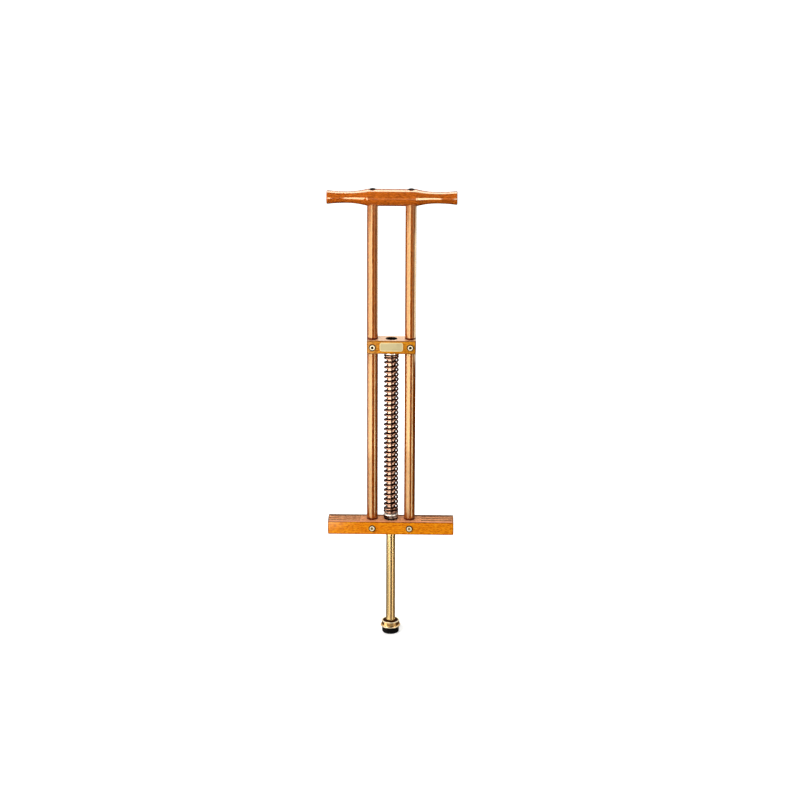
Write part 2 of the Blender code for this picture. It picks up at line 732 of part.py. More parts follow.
def main():
    clear_scene()
    materials = make_materials()
    build_frame(materials)
    build_plunger(materials)
    remove_cutters()


main()
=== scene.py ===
import json
import math

import bmesh
import bpy
import numpy as np
from mathutils import Matrix, Vector

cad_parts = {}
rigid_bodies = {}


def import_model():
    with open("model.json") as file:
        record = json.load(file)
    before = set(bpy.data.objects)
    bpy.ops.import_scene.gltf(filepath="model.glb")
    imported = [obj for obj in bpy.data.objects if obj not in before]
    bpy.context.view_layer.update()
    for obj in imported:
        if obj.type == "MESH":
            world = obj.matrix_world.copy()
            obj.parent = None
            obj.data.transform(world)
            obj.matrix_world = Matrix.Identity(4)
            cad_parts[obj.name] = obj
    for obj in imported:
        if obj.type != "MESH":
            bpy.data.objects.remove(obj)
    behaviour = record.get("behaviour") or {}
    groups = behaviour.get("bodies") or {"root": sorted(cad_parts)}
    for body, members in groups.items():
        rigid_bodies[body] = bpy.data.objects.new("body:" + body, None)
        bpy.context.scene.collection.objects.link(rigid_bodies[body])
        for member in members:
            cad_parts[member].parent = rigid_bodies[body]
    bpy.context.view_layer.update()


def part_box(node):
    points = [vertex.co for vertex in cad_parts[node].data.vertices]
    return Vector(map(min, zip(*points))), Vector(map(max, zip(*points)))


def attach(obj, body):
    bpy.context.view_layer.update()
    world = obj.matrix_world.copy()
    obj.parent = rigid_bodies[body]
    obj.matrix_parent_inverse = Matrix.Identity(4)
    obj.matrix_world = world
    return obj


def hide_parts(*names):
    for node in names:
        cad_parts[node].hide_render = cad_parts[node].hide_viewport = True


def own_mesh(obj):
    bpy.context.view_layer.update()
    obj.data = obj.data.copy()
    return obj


for leftOver in list(bpy.data.objects):  # Blender's own starting objects
    bpy.data.objects.remove(leftOver)

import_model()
print("frame loaded")

# Fits and fineness shared by all the pieces
seatGap = 0.0003  # between faces that bear on each other or are glued
overrun = 0.005  # of a cutter past the face it opens
hair = 1e-5  # of slack where faces are told apart by their place
tiny = 1e-7  # less than this is nothing
flatShare = 0.9  # of a face's normal that lies along an axis it counts as square to
quarter = math.pi / 2  # of a turn
roundSides = 96
smallSides = 48
sharpAngle = math.radians(32)
supportFrom = 0.0025  # runs longer than this get a ring near each end
supportAt = 0.0004


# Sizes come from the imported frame

def span(node):
    low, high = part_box(node)
    return Vector(low), Vector(high)


def middleOf(node):
    low, high = span(node)
    return (low + high) / 2


def sizeOf(node):
    low, high = span(node)
    return high - low


# Mesh making

def arcPoints(centre, radius, start, end, steps):
    angles = np.linspace(start, end, steps + 1)
    return [(centre[0] + radius * math.cos(a), centre[1] + radius * math.sin(a)) for a in angles]


def softened(corners, closed=False, steps=4):
    # (radius, height, rounding) corners become (radius, height) points with rounded corners
    points = []
    count = len(corners)
    for i, (radius, height, rounding) in enumerate(corners):
        here = Vector((radius, height))
        if not rounding or (not closed and i in (0, count - 1)):
            points.append((radius, height))
            continue
        before = Vector(corners[i - 1][:2]) - here
        after = Vector(corners[(i + 1) % count][:2]) - here
        half = before.angle(after) / 2
        reach = min(rounding / math.tan(half), 0.49 * before.length, 0.49 * after.length)
        first = here + before.normalized() * reach
        last = here + after.normalized() * reach
        centre = here + (before.normalized() + after.normalized()).normalized() * (reach / math.cos(half))
        bend = (first - centre).length
        for step in range(steps + 1):
            share = step / steps
            towards = (first - centre) * (1 - share) + (last - centre) * share
            point = centre + towards.normalized() * bend
            points.append((point.x, point.y))
    return points


def linked(name, data):
    item = bpy.data.objects.new(name, data)
    bpy.context.scene.collection.objects.link(item)
    return item


def fromBmesh(name, bm):
    bmesh.ops.recalc_face_normals(bm, faces=bm.faces[:])
    mesh = bpy.data.meshes.new(name)
    bm.to_mesh(mesh)
    bm.free()
    return linked(name, mesh)


def moved(piece, place=(0, 0, 0), turn=(0, 0, 0)):
    # the move goes into the mesh, so that the piece keeps the frame's origin
    matrix = Matrix.Translation(place) @ Matrix.Rotation(turn[2], 4, "Z")
    matrix = matrix @ Matrix.Rotation(turn[1], 4, "Y") @ Matrix.Rotation(turn[0], 4, "X")
    piece.data.transform(matrix)
    return piece


def supported(profile, closed):
    # a ring close to each end of a long run keeps the shading of the run straight
    points = []
    ends = profile[1:] + (profile[:1] if closed else [])
    for first, last in zip(profile, ends):
        points.append(first)
        run = math.dist(first, last)
        if run > supportFrom:
            for share in (supportAt / run, 1 - supportAt / run):
                points.append(tuple(a + (b - a) * share for a, b in zip(first, last)))
    return points if closed else points + [profile[-1]]


def turned(name, profile, sides=roundSides, closed=False):
    # lathe work about Z: (radius, height) points run down the outer side
    verts = []
    rings = []
    for radius, height in supported(profile, closed):
        if radius < tiny:
            rings.append([len(verts)])
            verts.append((0, 0, height))
            continue
        rings.append(list(range(len(verts), len(verts) + sides)))
        for i in range(sides):
            angle = 2 * math.pi * i / sides
            verts.append((radius * math.cos(angle), radius * math.sin(angle), height))
    pairs = list(zip(rings, rings[1:]))
    if closed:
        pairs.append((rings[-1], rings[0]))
    faces = []
    for upper, lower in pairs:
        for i in range(sides):
            j = (i + 1) % sides
            if len(upper) == 1 and len(lower) == 1:
                continue
            if len(upper) == 1:
                faces.append((upper[0], lower[i], lower[j]))
            elif len(lower) == 1:
                faces.append((upper[i], lower[0], upper[j]))
            else:
                faces.append((upper[i], lower[i], lower[j], upper[j]))
    mesh = bpy.data.meshes.new(name)
    mesh.from_pydata(verts, [], faces)
    mesh.validate()
    return linked(name, mesh)


def stacked(name, verts, count, picks=None):
    # rings of count points each, one on the next and closed at both ends, with a material for each side
    bm = bmesh.new()
    made = [bm.verts.new(v) for v in verts]
    for base in range(0, len(verts) - count, count):
        for i in range(count):
            j = (i + 1) % count
            corners = (base + i, base + j, base + count + j, base + count + i)
            face = bm.faces.new([made[k] for k in corners])
            face.material_index = int(picks[i]) if picks else 0
    bm.faces.new(made[:count][::-1])
    bm.faces.new(made[-count:])
    return fromBmesh(name, bm)


def prism(name, outline, low, high, edge=0):
    # an outline in XY raised along Z, its long edges rounded over
    bm = bmesh.new()
    face = bm.faces.new([bm.verts.new((x, y, low)) for x, y in outline])
    raised = bmesh.ops.extrude_face_region(bm, geom=[face])["geom"]
    top = [item for item in raised if isinstance(item, bmesh.types.BMVert)]
    bmesh.ops.translate(bm, vec=(0, 0, high - low), verts=top)
    if edge:
        flat = [e for e in bm.edges if abs(e.verts[0].co.z - e.verts[1].co.z) < tiny]
        bmesh.ops.bevel(bm, geom=flat, offset=edge, segments=2, affect="EDGES")
    return fromBmesh(name, bm)


def plankPiece(name, low, high, edge):
    # a sawn block with rounded edges, which take the second material, painted edge shade
    bm = bmesh.new()
    bmesh.ops.create_cube(bm, size=1)
    bmesh.ops.scale(bm, vec=high - low, verts=bm.verts[:])
    bmesh.ops.translate(bm, vec=(high + low) / 2, verts=bm.verts[:])
    bmesh.ops.bevel(bm, geom=bm.edges[:], offset=edge, segments=4, affect="EDGES", material=1)
    return fromBmesh(name, bm)


def hexagon(acrossFlats):
    return arcPoints((0, 0), acrossFlats / math.sqrt(3), 0, 5 * math.pi / 3, 5)


def carve(piece, cutters, operation="DIFFERENCE"):
    for cutter in cutters:
        boolean = piece.modifiers.new("Cut", "BOOLEAN")
        boolean.operation = operation
        boolean.solver = "EXACT"
        boolean.object = cutter
    applied(piece)
    for cutter in cutters:
        bpy.data.objects.remove(cutter)


def cylinder(low, high, radius, sides=smallSides):
    return turned("hole", [(0, high), (radius, high), (radius, low), (0, low)], sides)


def standingHole(x, low, high, radius, sides=roundSides):
    return moved(cylinder(low, high, radius, sides), (x, 0, 0))


def crossHole(x, z, yFrom, yTo, radius):
    return moved(cylinder(0, yTo - yFrom, radius), (x, yTo, z), (quarter, 0, 0))


def applied(piece):
    bpy.context.view_layer.update()
    graph = bpy.context.evaluated_depsgraph_get()
    mesh = bpy.data.meshes.new_from_object(piece.evaluated_get(graph))
    piece.modifiers.clear()
    piece.data = mesh


def finished(piece, body, node, materials, flatSided=False):
    piece.data.shade_smooth()
    piece.data.set_sharp_from_angle(angle=sharpAngle)
    if flatSided:  # wide faces stay flat up to their rounded edges
        weighted = piece.modifiers.new("Flats", "WEIGHTED_NORMAL")
        weighted.weight = 100
        weighted.keep_sharp = True
        applied(piece)
    picks = np.zeros(len(piece.data.polygons), dtype=np.int32)
    piece.data.polygons.foreach_get("material_index", picks)
    piece.data.materials.clear()
    for material in materials:
        piece.data.materials.append(material)
    piece.data.polygons.foreach_set("material_index", picks)
    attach(piece, body)
    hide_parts(node)


# Material making

def paint(red, green, blue):
    # an 8-bit colour as the linear one that a shader takes
    def straight(channel):
        share = channel / 255
        return share / 12.92 if share <= 0.04045 else ((share + 0.055) / 1.055) ** 2.4
    return (straight(red), straight(green), straight(blue), 1)


def newMaterial(name):
    material = bpy.data.materials.new(name)
    material.use_nodes = True
    return material, material.node_tree, material.node_tree.nodes["Principled BSDF"]


def feed(tree, node, inputs):
    # each input takes a link or a plain value
    for name, value in inputs.items():
        if isinstance(value, bpy.types.NodeSocket):
            tree.links.new(value, node.inputs[name])
        else:
            node.inputs[name].default_value = value


def addNode(tree, kind, inputs, **settings):
    node = tree.nodes.new("ShaderNode" + kind)
    for name, value in settings.items():
        setattr(node, name, value)
    feed(tree, node, inputs)
    return node


def coordsOf(tree, kind="Object"):
    return addNode(tree, "TexCoord", {}).outputs[kind]


def axisOf(tree, vector, axis):
    return addNode(tree, "SeparateXYZ", {"Vector": vector}).outputs[axis]


def reachOf(tree):
    # distance from the piece's origin
    return addNode(tree, "VectorMath", {0: coordsOf(tree)}, operation="LENGTH").outputs["Value"]


def mappedCoords(tree, scale, shift):
    inputs = {"Vector": coordsOf(tree), "Scale": scale, "Location": shift}
    return addNode(tree, "Mapping", inputs).outputs["Vector"]


def noiseField(tree, scale, shift=(0, 0, 0), detail=3, distortion=0):
    vector = mappedCoords(tree, scale, shift)
    inputs = {"Vector": vector, "Scale": 1, "Detail": detail, "Distortion": distortion}
    return addNode(tree, "TexNoise", inputs).outputs["Fac"]


def ringField(tree, axis, scale, shift, distortion):
    vector = mappedCoords(tree, scale, shift)
    inputs = {"Vector": vector, "Scale": 1, "Distortion": distortion, "Detail": 2, "Detail Scale": 0.6}
    return addNode(tree, "TexWave", inputs, wave_type="RINGS", rings_direction=axis).outputs["Fac"]


def remap(tree, field, low, high, outLow, outHigh):
    inputs = {"Value": field, "From Min": low, "From Max": high, "To Min": outLow, "To Max": outHigh}
    return addNode(tree, "MapRange", inputs).outputs["Result"]


def maths(tree, operation, first, second):
    return addNode(tree, "Math", {0: first, 1: second}, operation=operation).outputs["Value"]


def mixed(tree, share, first, second):
    return addNode(tree, "Mix", {0: share, 6: first, 7: second}, data_type="RGBA").outputs[2]


def bumped(tree, shader, height, strength, distance):
    inputs = {"Height": height, "Strength": strength, "Distance": distance}
    feed(tree, shader, {"Normal": addNode(tree, "Bump", inputs).outputs["Normal"]})


def alongGrain(grain, along, across):
    # a scale that is low along the grain and high across it
    return tuple(along if axis == grain else across for axis in "XYZ")


def placeBand(tree, axis, start, full):
    # 0 to 1 from one place along an axis to another
    return remap(tree, axisOf(tree, coordsOf(tree), axis), start, full, 0, 1)


def edgeShadeBands(node, tint):
    # painted shade along the lower edge and both ends of a plank
    low, high = span(node)
    start = edgeShade["start"]
    full = edgeShade["full"]
    return [("Z", low.z + start, low.z + full, tint), ("X", low.x + start, low.x + full, tint),
            ("X", high.x - start, high.x - full, tint)]


usualNoise = (0.3, 0.7)  # between which a noise mostly lies
woodGrain = {  # scales along and across the grain, where a mark begins and is full
    "ringsAlong": 1.6, "fibre": (9, 420), "cloud": (7, 34), "spots": (190, 520), "fleckFrom": (0.52, 0.64),
    "sparkFrom": (0.48, 0.36), "sparkGain": 1.14, "sparkLift": 6, "roughSpread": 0.2, "fleckDepth": 0.5,
    "depth": 0.0004,
}
metalWear = {
    "patchShift": (3, 1, 2), "tarnishSpan": 0.22, "markFrom": (0.35, 0.65), "smoother": 0.04,
    "rougher": 0.05, "tarnishRough": 0.25, "depth": 0.0001,
}
mouldWear = {
    "dustScale": (60, 60, 90), "dustShift": (1, 5, 2), "dustFrom": (0.45, 0.75), "roughSpread": 0.08,
    "depth": 0.0002,
}


def woodFinish(name, base, *tints, **changes):
    look = base | dict(zip(("light", "dark", "fleck"), tints)) | changes
    material, tree, shader = newMaterial(name)
    grain = look["grain"]
    shift = look["shift"]
    ringScale = alongGrain(grain, woodGrain["ringsAlong"], look["ringScale"])
    rings = ringField(tree, grain, ringScale, look["heart"], look["figure"])
    fibre = noiseField(tree, alongGrain(grain, *woodGrain["fibre"]), shift, detail=5, distortion=0.3)
    cloud = noiseField(tree, alongGrain(grain, *woodGrain["cloud"]), shift, detail=2)
    spots = noiseField(tree, alongGrain(grain, *woodGrain["spots"]), shift)
    flecks = remap(tree, spots, *woodGrain["fleckFrom"], 0, 1)
    sparks = remap(tree, spots, *woodGrain["sparkFrom"], 0, look["sparkShare"])
    tone = maths(tree, "MULTIPLY", rings, look["ringShare"])
    tone = maths(tree, "ADD", tone, remap(tree, fibre, *usualNoise, 0, look["fibreShare"]))
    tone = maths(tree, "ADD", tone, remap(tree, cloud, *usualNoise, 0, look["cloudShare"]))
    colour = mixed(tree, tone, paint(*look["light"]), paint(*look["dark"]))
    colour = mixed(tree, maths(tree, "MULTIPLY", flecks, look["fleckShare"]), colour, paint(*look["fleck"]))
    spark = [min(255, part * woodGrain["sparkGain"] + woodGrain["sparkLift"]) for part in look["light"]]
    colour = mixed(tree, sparks, colour, paint(*spark))
    # the bands lay painted shade and painted highlight along a piece
    for axis, start, full, tint in look["bands"]:
        colour = mixed(tree, placeBand(tree, axis, start, full), colour, paint(*tint))
    smooth = look["roughness"] * (1 - woodGrain["roughSpread"])
    rough = look["roughness"] * (1 + woodGrain["roughSpread"])
    feed(tree, shader, {
        "Base Color": colour,
        "Roughness": remap(tree, fibre, *usualNoise, smooth, rough),
        "IOR": look["ior"],
        "Specular IOR Level": look["specular"],
        "Specular Tint": paint(*look["shine"]),
    })
    relief = maths(tree, "SUBTRACT", fibre, maths(tree, "MULTIPLY", flecks, woodGrain["fleckDepth"]))
    bumped(tree, shader, relief, look["bump"], woodGrain["depth"])
    return material


def metalFinish(name, base, *tints, **changes):
    look = base | dict(zip(("bright", "tarnish", "markTint"), tints)) | changes
    material, tree, shader = newMaterial(name)
    marks = noiseField(tree, look["marks"], detail=4)
    patches = noiseField(tree, (look["patchScale"],) * 3, metalWear["patchShift"], detail=4)
    tarnished = look["tarnishFrom"] + metalWear["tarnishSpan"]
    tarnish = remap(tree, patches, look["tarnishFrom"], tarnished, 0, look["tarnishShare"])
    colour = mixed(tree, tarnish, paint(*look["bright"]), paint(*look["tarnish"]))
    streak = remap(tree, marks, *metalWear["markFrom"], 0, look["markShare"])
    smooth = look["roughness"] - metalWear["smoother"]
    rough = remap(tree, marks, *usualNoise, smooth, look["roughness"] + metalWear["rougher"])
    feed(tree, shader, {
        "Base Color": mixed(tree, streak, colour, paint(*look["markTint"])),
        "Metallic": look["metallic"],
        "Specular IOR Level": look["specular"],
        "Roughness": maths(tree, "ADD", rough, maths(tree, "MULTIPLY", tarnish, metalWear["tarnishRough"])),
    })
    bumped(tree, shader, marks, look["bump"], metalWear["depth"])
    return material


def mouldedFinish(name, look):
    material, tree, shader = newMaterial(name)
    grain = noiseField(tree, (look["grainScale"],) * 3)
    specks = noiseField(tree, mouldWear["dustScale"], mouldWear["dustShift"], detail=4)
    dust = remap(tree, specks, *mouldWear["dustFrom"], 0, look["dustShare"])
    smooth = look["roughness"] - mouldWear["roughSpread"]
    feed(tree, shader, {
        "Base Color": mixed(tree, dust, paint(*look["colour"]), paint(*look["dust"])),
        "Roughness": remap(tree, grain, *usualNoise, smooth, look["roughness"] + mouldWear["roughSpread"]),
        "Specular IOR Level": look["specular"],
    })
    bumped(tree, shader, grain, look["bump"], mouldWear["depth"])
    return material


# Finishes

# painted shade along the lower edge and the ends of the planks: how far in it begins and where it is full
edgeShade = {"start": 0.0026, "full": 0.0010}
beech = {
    "grain": "X", "shift": (0, 0, 0), "heart": (0, 3.1, 2.2), "ringScale": 62, "figure": 3.2,
    "ringShare": 0.30, "fibreShare": 0.38, "cloudShare": 0.32, "fleckShare": 0.8, "sparkShare": 0.6,
    "roughness": 0.09, "ior": 1.8, "specular": 0.5, "shine": (255, 246, 206), "bump": 0.025, "bands": [],
    "light": (250, 150, 22), "dark": (230, 118, 6), "fleck": (182, 80, 2),
}
blockLook = dict(
    beech, light=(202, 134, 30), dark=(178, 100, 14), fleck=(130, 68, 6), fleckShare=0.6, sparkShare=0.45,
    shift=(9, 6, 2))
dowelLook = dict(
    beech, grain="Z", light=(154, 76, 18), dark=(129, 54, 8), fleck=(91, 32, 2), fleckShare=0.6,
    shine=(255, 236, 176), heart=(2.6, 0.9, 0), shift=(2, 8, 5))
# painted shade on the rounded edges of the planks
edgeShadeLook = dict(
    beech, light=(134, 64, 8), dark=(106, 46, 4), fleck=(80, 32, 2), specular=0.03, roughness=0.6, bump=0.2)
treadLook = dict(
    beech, light=(221, 150, 102), dark=(195, 122, 76), fleck=(132, 76, 42), specular=0.08, roughness=0.75,
    bump=0.6)
# painted highlight along the front of the tread, painted shade along its back and at its ends
treadLightAndShade = [("Y", -0.0165, -0.019, (232, 156, 112)), ("Y", 0.0152, 0.0175, (96, 56, 32))]
treadLightAndShade += edgeShadeBands("footrest", (112, 62, 34))[1:]

handleWood = woodFinish(
    "handleVarnish", beech, (180, 92, 22), (148, 62, 10), (108, 41, 3), fleckShare=0.65, sparkShare=0.45,
    roughness=0.07, shift=(4, 1, 7))
footrestWood = woodFinish(
    "footrestVarnish", beech, fleckShare=0.6, bands=edgeShadeBands("footrest", (158, 78, 8)))
blockWood = woodFinish("blockVarnish", blockLook, bands=edgeShadeBands("upper_block", (110, 56, 10)))
dowelWood = woodFinish("dowelVarnish", dowelLook)
footrestEdgeShade = woodFinish("shadedFootrestEdge", edgeShadeLook)
# painted shade where the dowels stand on the block and the footrest
dowelBaseShade = woodFinish(
    "dowelBaseShade", dowelLook, (88, 24, 4), (64, 12, 1), (44, 6, 0), specular=0.1, roughness=0.5)
blockEdgeShade = woodFinish("shadedBlockEdge", edgeShadeLook, (134, 76, 18), (104, 54, 8), (80, 38, 4))
# painted light: the top of the block is paler, as lit from above
blockTopLight = woodFinish("paintedLitBlockTop", blockLook, (250, 196, 148), (234, 172, 120), (206, 142, 94))
sawnWood = woodFinish(
    "sawnEnds", beech, (206, 114, 24), (164, 80, 10), (112, 50, 4), roughness=0.22, specular=0.3, bump=0.15)
treadWood = woodFinish("wornTread", treadLook, bands=treadLightAndShade)
# painted shade on the floors of the grooves
grooveShade = woodFinish("paintedGrooveShade", treadLook, (52, 22, 8), (34, 12, 4), (24, 8, 2))
# painted highlight on the lips of the grooves
lipHighlight = woodFinish("paintedGrooveLipHighlight", treadLook, (236, 182, 134), (216, 152, 102), (180, 116, 72))

plainMetal = {
    "marks": (300, 300, 300), "markShare": 0.3, "markTint": (150, 140, 126), "patchScale": 90,
    "tarnishFrom": 0.5, "tarnishShare": 0.35, "bright": (206, 194, 168), "tarnish": (150, 132, 100),
    "roughness": 0.36, "bump": 0.12, "metallic": 1.0, "specular": 0.5,
}
# a dull dark look for the painted shade in sockets and round bolt heads
shadeLook = dict(plainMetal, metallic=0.0, specular=0.05, roughness=0.6)
wireLook = dict(plainMetal, marks=(60, 60, 900), patchScale=40)
goldenLook = dict(
    plainMetal, bright=(250, 216, 152), tarnish=(224, 176, 106), markTint=(232, 192, 126),
    marks=(900, 900, 5), markShare=0.2, patchScale=24, roughness=0.18, bump=0.02)
brassLook = dict(
    plainMetal, bright=(226, 184, 122), tarnish=(160, 108, 54), markTint=(196, 150, 92),
    marks=(20, 20, 2600), patchScale=70, tarnishShare=0.5, roughness=0.16)

nickel = metalFinish("wornNickel", plainMetal, (238, 224, 190), (196, 176, 136), metallic=0.35)
# painted light: a paler copy of the nickel for the footrest bolts
litNickel = metalFinish("litNickel", plainMetal, (255, 242, 206), (226, 204, 158), metallic=0.15)
# painted shade round the rims of the bolt and nut heads
boltRimShade = metalFinish("boltRimShade", shadeLook, (62, 44, 24), (36, 24, 12), (48, 34, 18))
socketDark = metalFinish(
    "socketShade", shadeLook, (10, 8, 7), (5, 4, 4), (7, 6, 5), roughness=0.7, specular=0.03)
# paler painted shade in the sockets of the footrest bolts
socketShadeTan = metalFinish(
    "socketShadeTan", shadeLook, (150, 126, 86), (98, 78, 48), (120, 98, 64), roughness=0.5, specular=0.1)
blackSteel = metalFinish(
    "blackenedSteel", plainMetal, (78, 64, 56), (40, 30, 25), (54, 43, 37), roughness=0.17)
zinc = metalFinish(
    "zincPlate", plainMetal, (252, 246, 234), (216, 206, 190), (226, 216, 200), roughness=0.28,
    metallic=0.55)
springSteel = metalFinish(
    "drawnSpringSteel", wireLook, (168, 130, 108), (90, 57, 43), (106, 74, 58), roughness=0.2)
# painted shade for the inside and the underside of the spring wire
wireShade = metalFinish(
    "paintedShadeSpringWire", wireLook, (62, 32, 22), (36, 14, 8), (46, 20, 13), roughness=0.45, metallic=0.5,
    specular=0.1)
goldenZinc = metalFinish("goldenZinc", goldenLook)
# painted shade: the rod is darker and pinker above the footrest, where it runs inside the spring
rodShadeInSpring = metalFinish(
    "rodShadeInSpring", goldenLook, (152, 120, 102), (112, 82, 64), (128, 98, 80), roughness=0.24)
ferruleBrass = metalFinish("turnedBrass", brassLook)
# painted highlight on the rim and the bead of the ferrule
rimHighlightBrass = metalFinish(
    "paintedHighlightBrassRim", brassLook, (255, 236, 196), (236, 204, 150), (246, 220, 172), roughness=0.22,
    metallic=0.6)
# painted shade in the cup of the ferrule
cupShadeBrass = metalFinish(
    "paintedShadeBrassCup", brassLook, (58, 30, 14), (34, 16, 7), (44, 22, 10), roughness=0.6, metallic=0.0,
    specular=0.05)
plateBrass = metalFinish(
    "satinPlate", plainMetal, (168, 155, 115), (140, 125, 86), (150, 135, 96), marks=(26, 900, 900),
    patchScale=46, roughness=0.5, metallic=0.35)
# painted highlight: the raised border of the plate is paler than its field
plateRimHighlight = metalFinish(
    "paintedHighlightPlateRim", plainMetal, (200, 180, 126), (172, 148, 94), (184, 162, 108), patchScale=60,
    roughness=0.4, metallic=0.35)

rubber = mouldedFinish("blackRubber", {
    "colour": (5, 4, 4), "dust": (20, 18, 16), "dustShare": 0.25, "grainScale": 1500,
    "roughness": 0.72, "specular": 0.07, "bump": 0.3})
nylon = mouldedFinish("blackNylon", {
    "colour": (10, 9, 9), "dust": (24, 22, 20), "dustShare": 0.2, "grainScale": 2600,
    "roughness": 0.65, "specular": 0.08, "bump": 0.12})
screwBlack = mouldedFinish("blackenedScrew", {
    "colour": (13, 10, 9), "dust": (30, 23, 19), "dustShare": 0.25, "grainScale": 900,
    "roughness": 0.7, "specular": 0.03, "bump": 0.2})
print("finishes made")

sideX = {"left": middleOf("left_upright").x, "right": middleOf("right_upright").x}
uprightRadius = sizeOf("left_upright").x / 2
blockLow, blockHigh = span("upper_block")
footLow, footHigh = span("footrest")
boltHosts = {"block": (blockLow, blockHigh), "footrest": (footLow, footHigh)}

# Handlebar

handlebar = {
    "plainLength": 0.108,
    "waist": 0.0254,
    "waistSpacing": 0.202,
    "gripEnd": 0.031,
    "endRound": 0.0022,
    "gripSteps": 22,
    "endSteps": 6,
    "socketDepth": 0.020,
}
screw = {
    "diameter": 0.005,
    "length": 0.055,
    "rimHeight": 0.0006,
    "crown": 0.0001,  # of the dome over the solid's faceted one
    "domeSteps": 10,
    "seatMargin": 0.0005,
}
screwHeadRadius = sizeOf("handlebar_screw_left").x / 2
screwSeat = span("handlebar_screw_left")[0].z + screw["length"] - seatGap


def screwHole(x, top):
    radius = screw["diameter"] / 2 + seatGap
    return standingHole(x, screwSeat - screw["length"], top + overrun, radius, smallSides)


def handleRadius(along, plainRadius, half):
    waistAt = handlebar["waistSpacing"] / 2
    waist = handlebar["waist"] / 2
    if along < waistAt:
        share = (waistAt - along) / (waistAt - handlebar["plainLength"] / 2)
        return waist + (plainRadius - waist) * share ** 2
    share = (along - waistAt) / (half - waistAt)
    return waist + (handlebar["gripEnd"] / 2 - waist) * share ** 2


def makeHandlebar():
    low, high = span("handlebar")
    plainRadius = (high.z - low.z) / 2
    half = (high.x - low.x) / 2
    roundFrom = half - handlebar["endRound"]
    endRadius = handleRadius(roundFrom, plainRadius, half)
    profile = [(0, half), ((endRadius - handlebar["endRound"]) / 2, half)]
    centre = (endRadius - handlebar["endRound"], roundFrom)
    profile += arcPoints(centre, handlebar["endRound"], quarter, 0, handlebar["endSteps"])
    places = np.linspace(roundFrom, handlebar["plainLength"] / 2, 2 * handlebar["gripSteps"])[1:]
    profile += [(handleRadius(along, plainRadius, half), along) for along in places]
    profile += [(radius, -along) for radius, along in reversed(profile)]
    bar = moved(turned("turnedHandlebar", profile), (0, 0, (low.z + high.z) / 2), (0, quarter, 0))
    cutters = []
    for x in sideX.values():
        socketTop = low.z + handlebar["socketDepth"]
        cutters.append(standingHole(x, low.z - overrun, socketTop, uprightRadius + seatGap))
        seatRadius = screwHeadRadius + screw["seatMargin"]
        cutters.append(standingHole(x, screwSeat, high.z + overrun, seatRadius, smallSides))
        cutters.append(screwHole(x, high.z))
    carve(bar, cutters)
    finished(bar, "frame", "handlebar", [handleWood])


makeHandlebar()
print("handlebar turned")

# Bolts, nuts and screws

bolt = {
    "diameter": 0.006,
    "headHeight": 0.0026,
    "headRound": 0.0011,
    "underRound": 0.0002,
    "setback": 0.004,
    "endChamfer": 0.001,
    "acrossFlats": 0.005,
    "socketDepth": 0.0018,
    "socketLip": 0.0002,
    "barrel": 0.009,
    "barrelLength": 0.009,
    "barrelRound": 0.0004,
    "rimShadeWidth": 0.0021,
    "socketShadeRing": 0.0005,
}
boltFinishes = {"block": [nickel, socketDark, boltRimShade], "footrest": [litNickel, socketShadeTan, boltRimShade]}
boltHeadRadius = sizeOf("block_bolt_left").x / 2
socketReach = bolt["acrossFlats"] / math.sqrt(3)
boltHead = [  # from the middle of its face out to its rim
    (0, bolt["headHeight"], 0),
    (socketReach + bolt["socketShadeRing"], bolt["headHeight"], 0),
    (boltHeadRadius - bolt["rimShadeWidth"], bolt["headHeight"], 0),
    (boltHeadRadius, bolt["headHeight"], bolt["headRound"]),
    (boltHeadRadius, 0, bolt["underRound"]),
]


def boltCutters(x, low, high):
    z = (low.z + high.z) / 2
    shaft = crossHole(x, z, low.y - overrun, high.y + overrun, bolt["diameter"] / 2 + seatGap)
    barrelFrom = high.y - bolt["barrelLength"] - seatGap
    barrel = crossHole(x, z, barrelFrom, high.y + overrun, bolt["barrel"] / 2 + seatGap)
    return [shaft, barrel]


def socketed(name, profile, tall, headRadius, place, turn):
    # the key socket and a ring round it take the second material, painted shade, and the rim of the head the
    # third, painted shade on the bolts and nuts
    piece = turned(name, profile, smallSides)
    floor = tall - bolt["socketDepth"]
    carve(piece, [prism("socket", hexagon(bolt["acrossFlats"]), floor, tall + overrun)])
    for face in piece.data.polygons:
        height = face.center.z
        out = math.hypot(face.center.x, face.center.y)
        inSocket = out < socketReach + hair and floor - hair < height < tall - bolt["socketLip"]
        nearSocket = out < socketReach + hair + bolt["socketShadeRing"] and height > tall - hair
        if inSocket or nearSocket:
            face.material_index = 1
        elif out > headRadius - bolt["rimShadeWidth"] and height > -hair:
            face.material_index = 2
    return moved(piece, place, (turn, 0, 0))


def makeBolt(host, side):
    low, high = boltHosts[host]
    shank = bolt["diameter"] / 2
    end = low.y - high.y + bolt["setback"]
    corners = boltHead + [
        (shank, 0, 0),
        (shank, end + bolt["endChamfer"], 0),
        (shank - bolt["endChamfer"], end, 0),
        (0, end, 0),
    ]
    place = (sideX[side], low.y - seatGap, (low.z + high.z) / 2)
    name = f"{host}Bolt-{side}"
    piece = socketed(name, softened(corners), bolt["headHeight"], boltHeadRadius, place, quarter)
    finished(piece, "frame", f"{host}_bolt_{side}", boltFinishes[host])


def makeNut(host, side):
    low, high = boltHosts[host]
    barrel = bolt["barrel"] / 2
    thread = bolt["diameter"] / 2 + seatGap
    corners = boltHead + [
        (barrel, 0, 0),
        (barrel, -bolt["barrelLength"], bolt["barrelRound"]),
        (thread, -bolt["barrelLength"], bolt["barrelRound"]),
        (thread, 0, 0),
        (0, 0, 0),
    ]
    place = (sideX[side], high.y + seatGap, (low.z + high.z) / 2)
    name = f"{host}Nut-{side}"
    piece = socketed(name, softened(corners), bolt["headHeight"], boltHeadRadius, place, -quarter)
    finished(piece, "frame", f"{host}_nut_{side}", boltFinishes["block"])


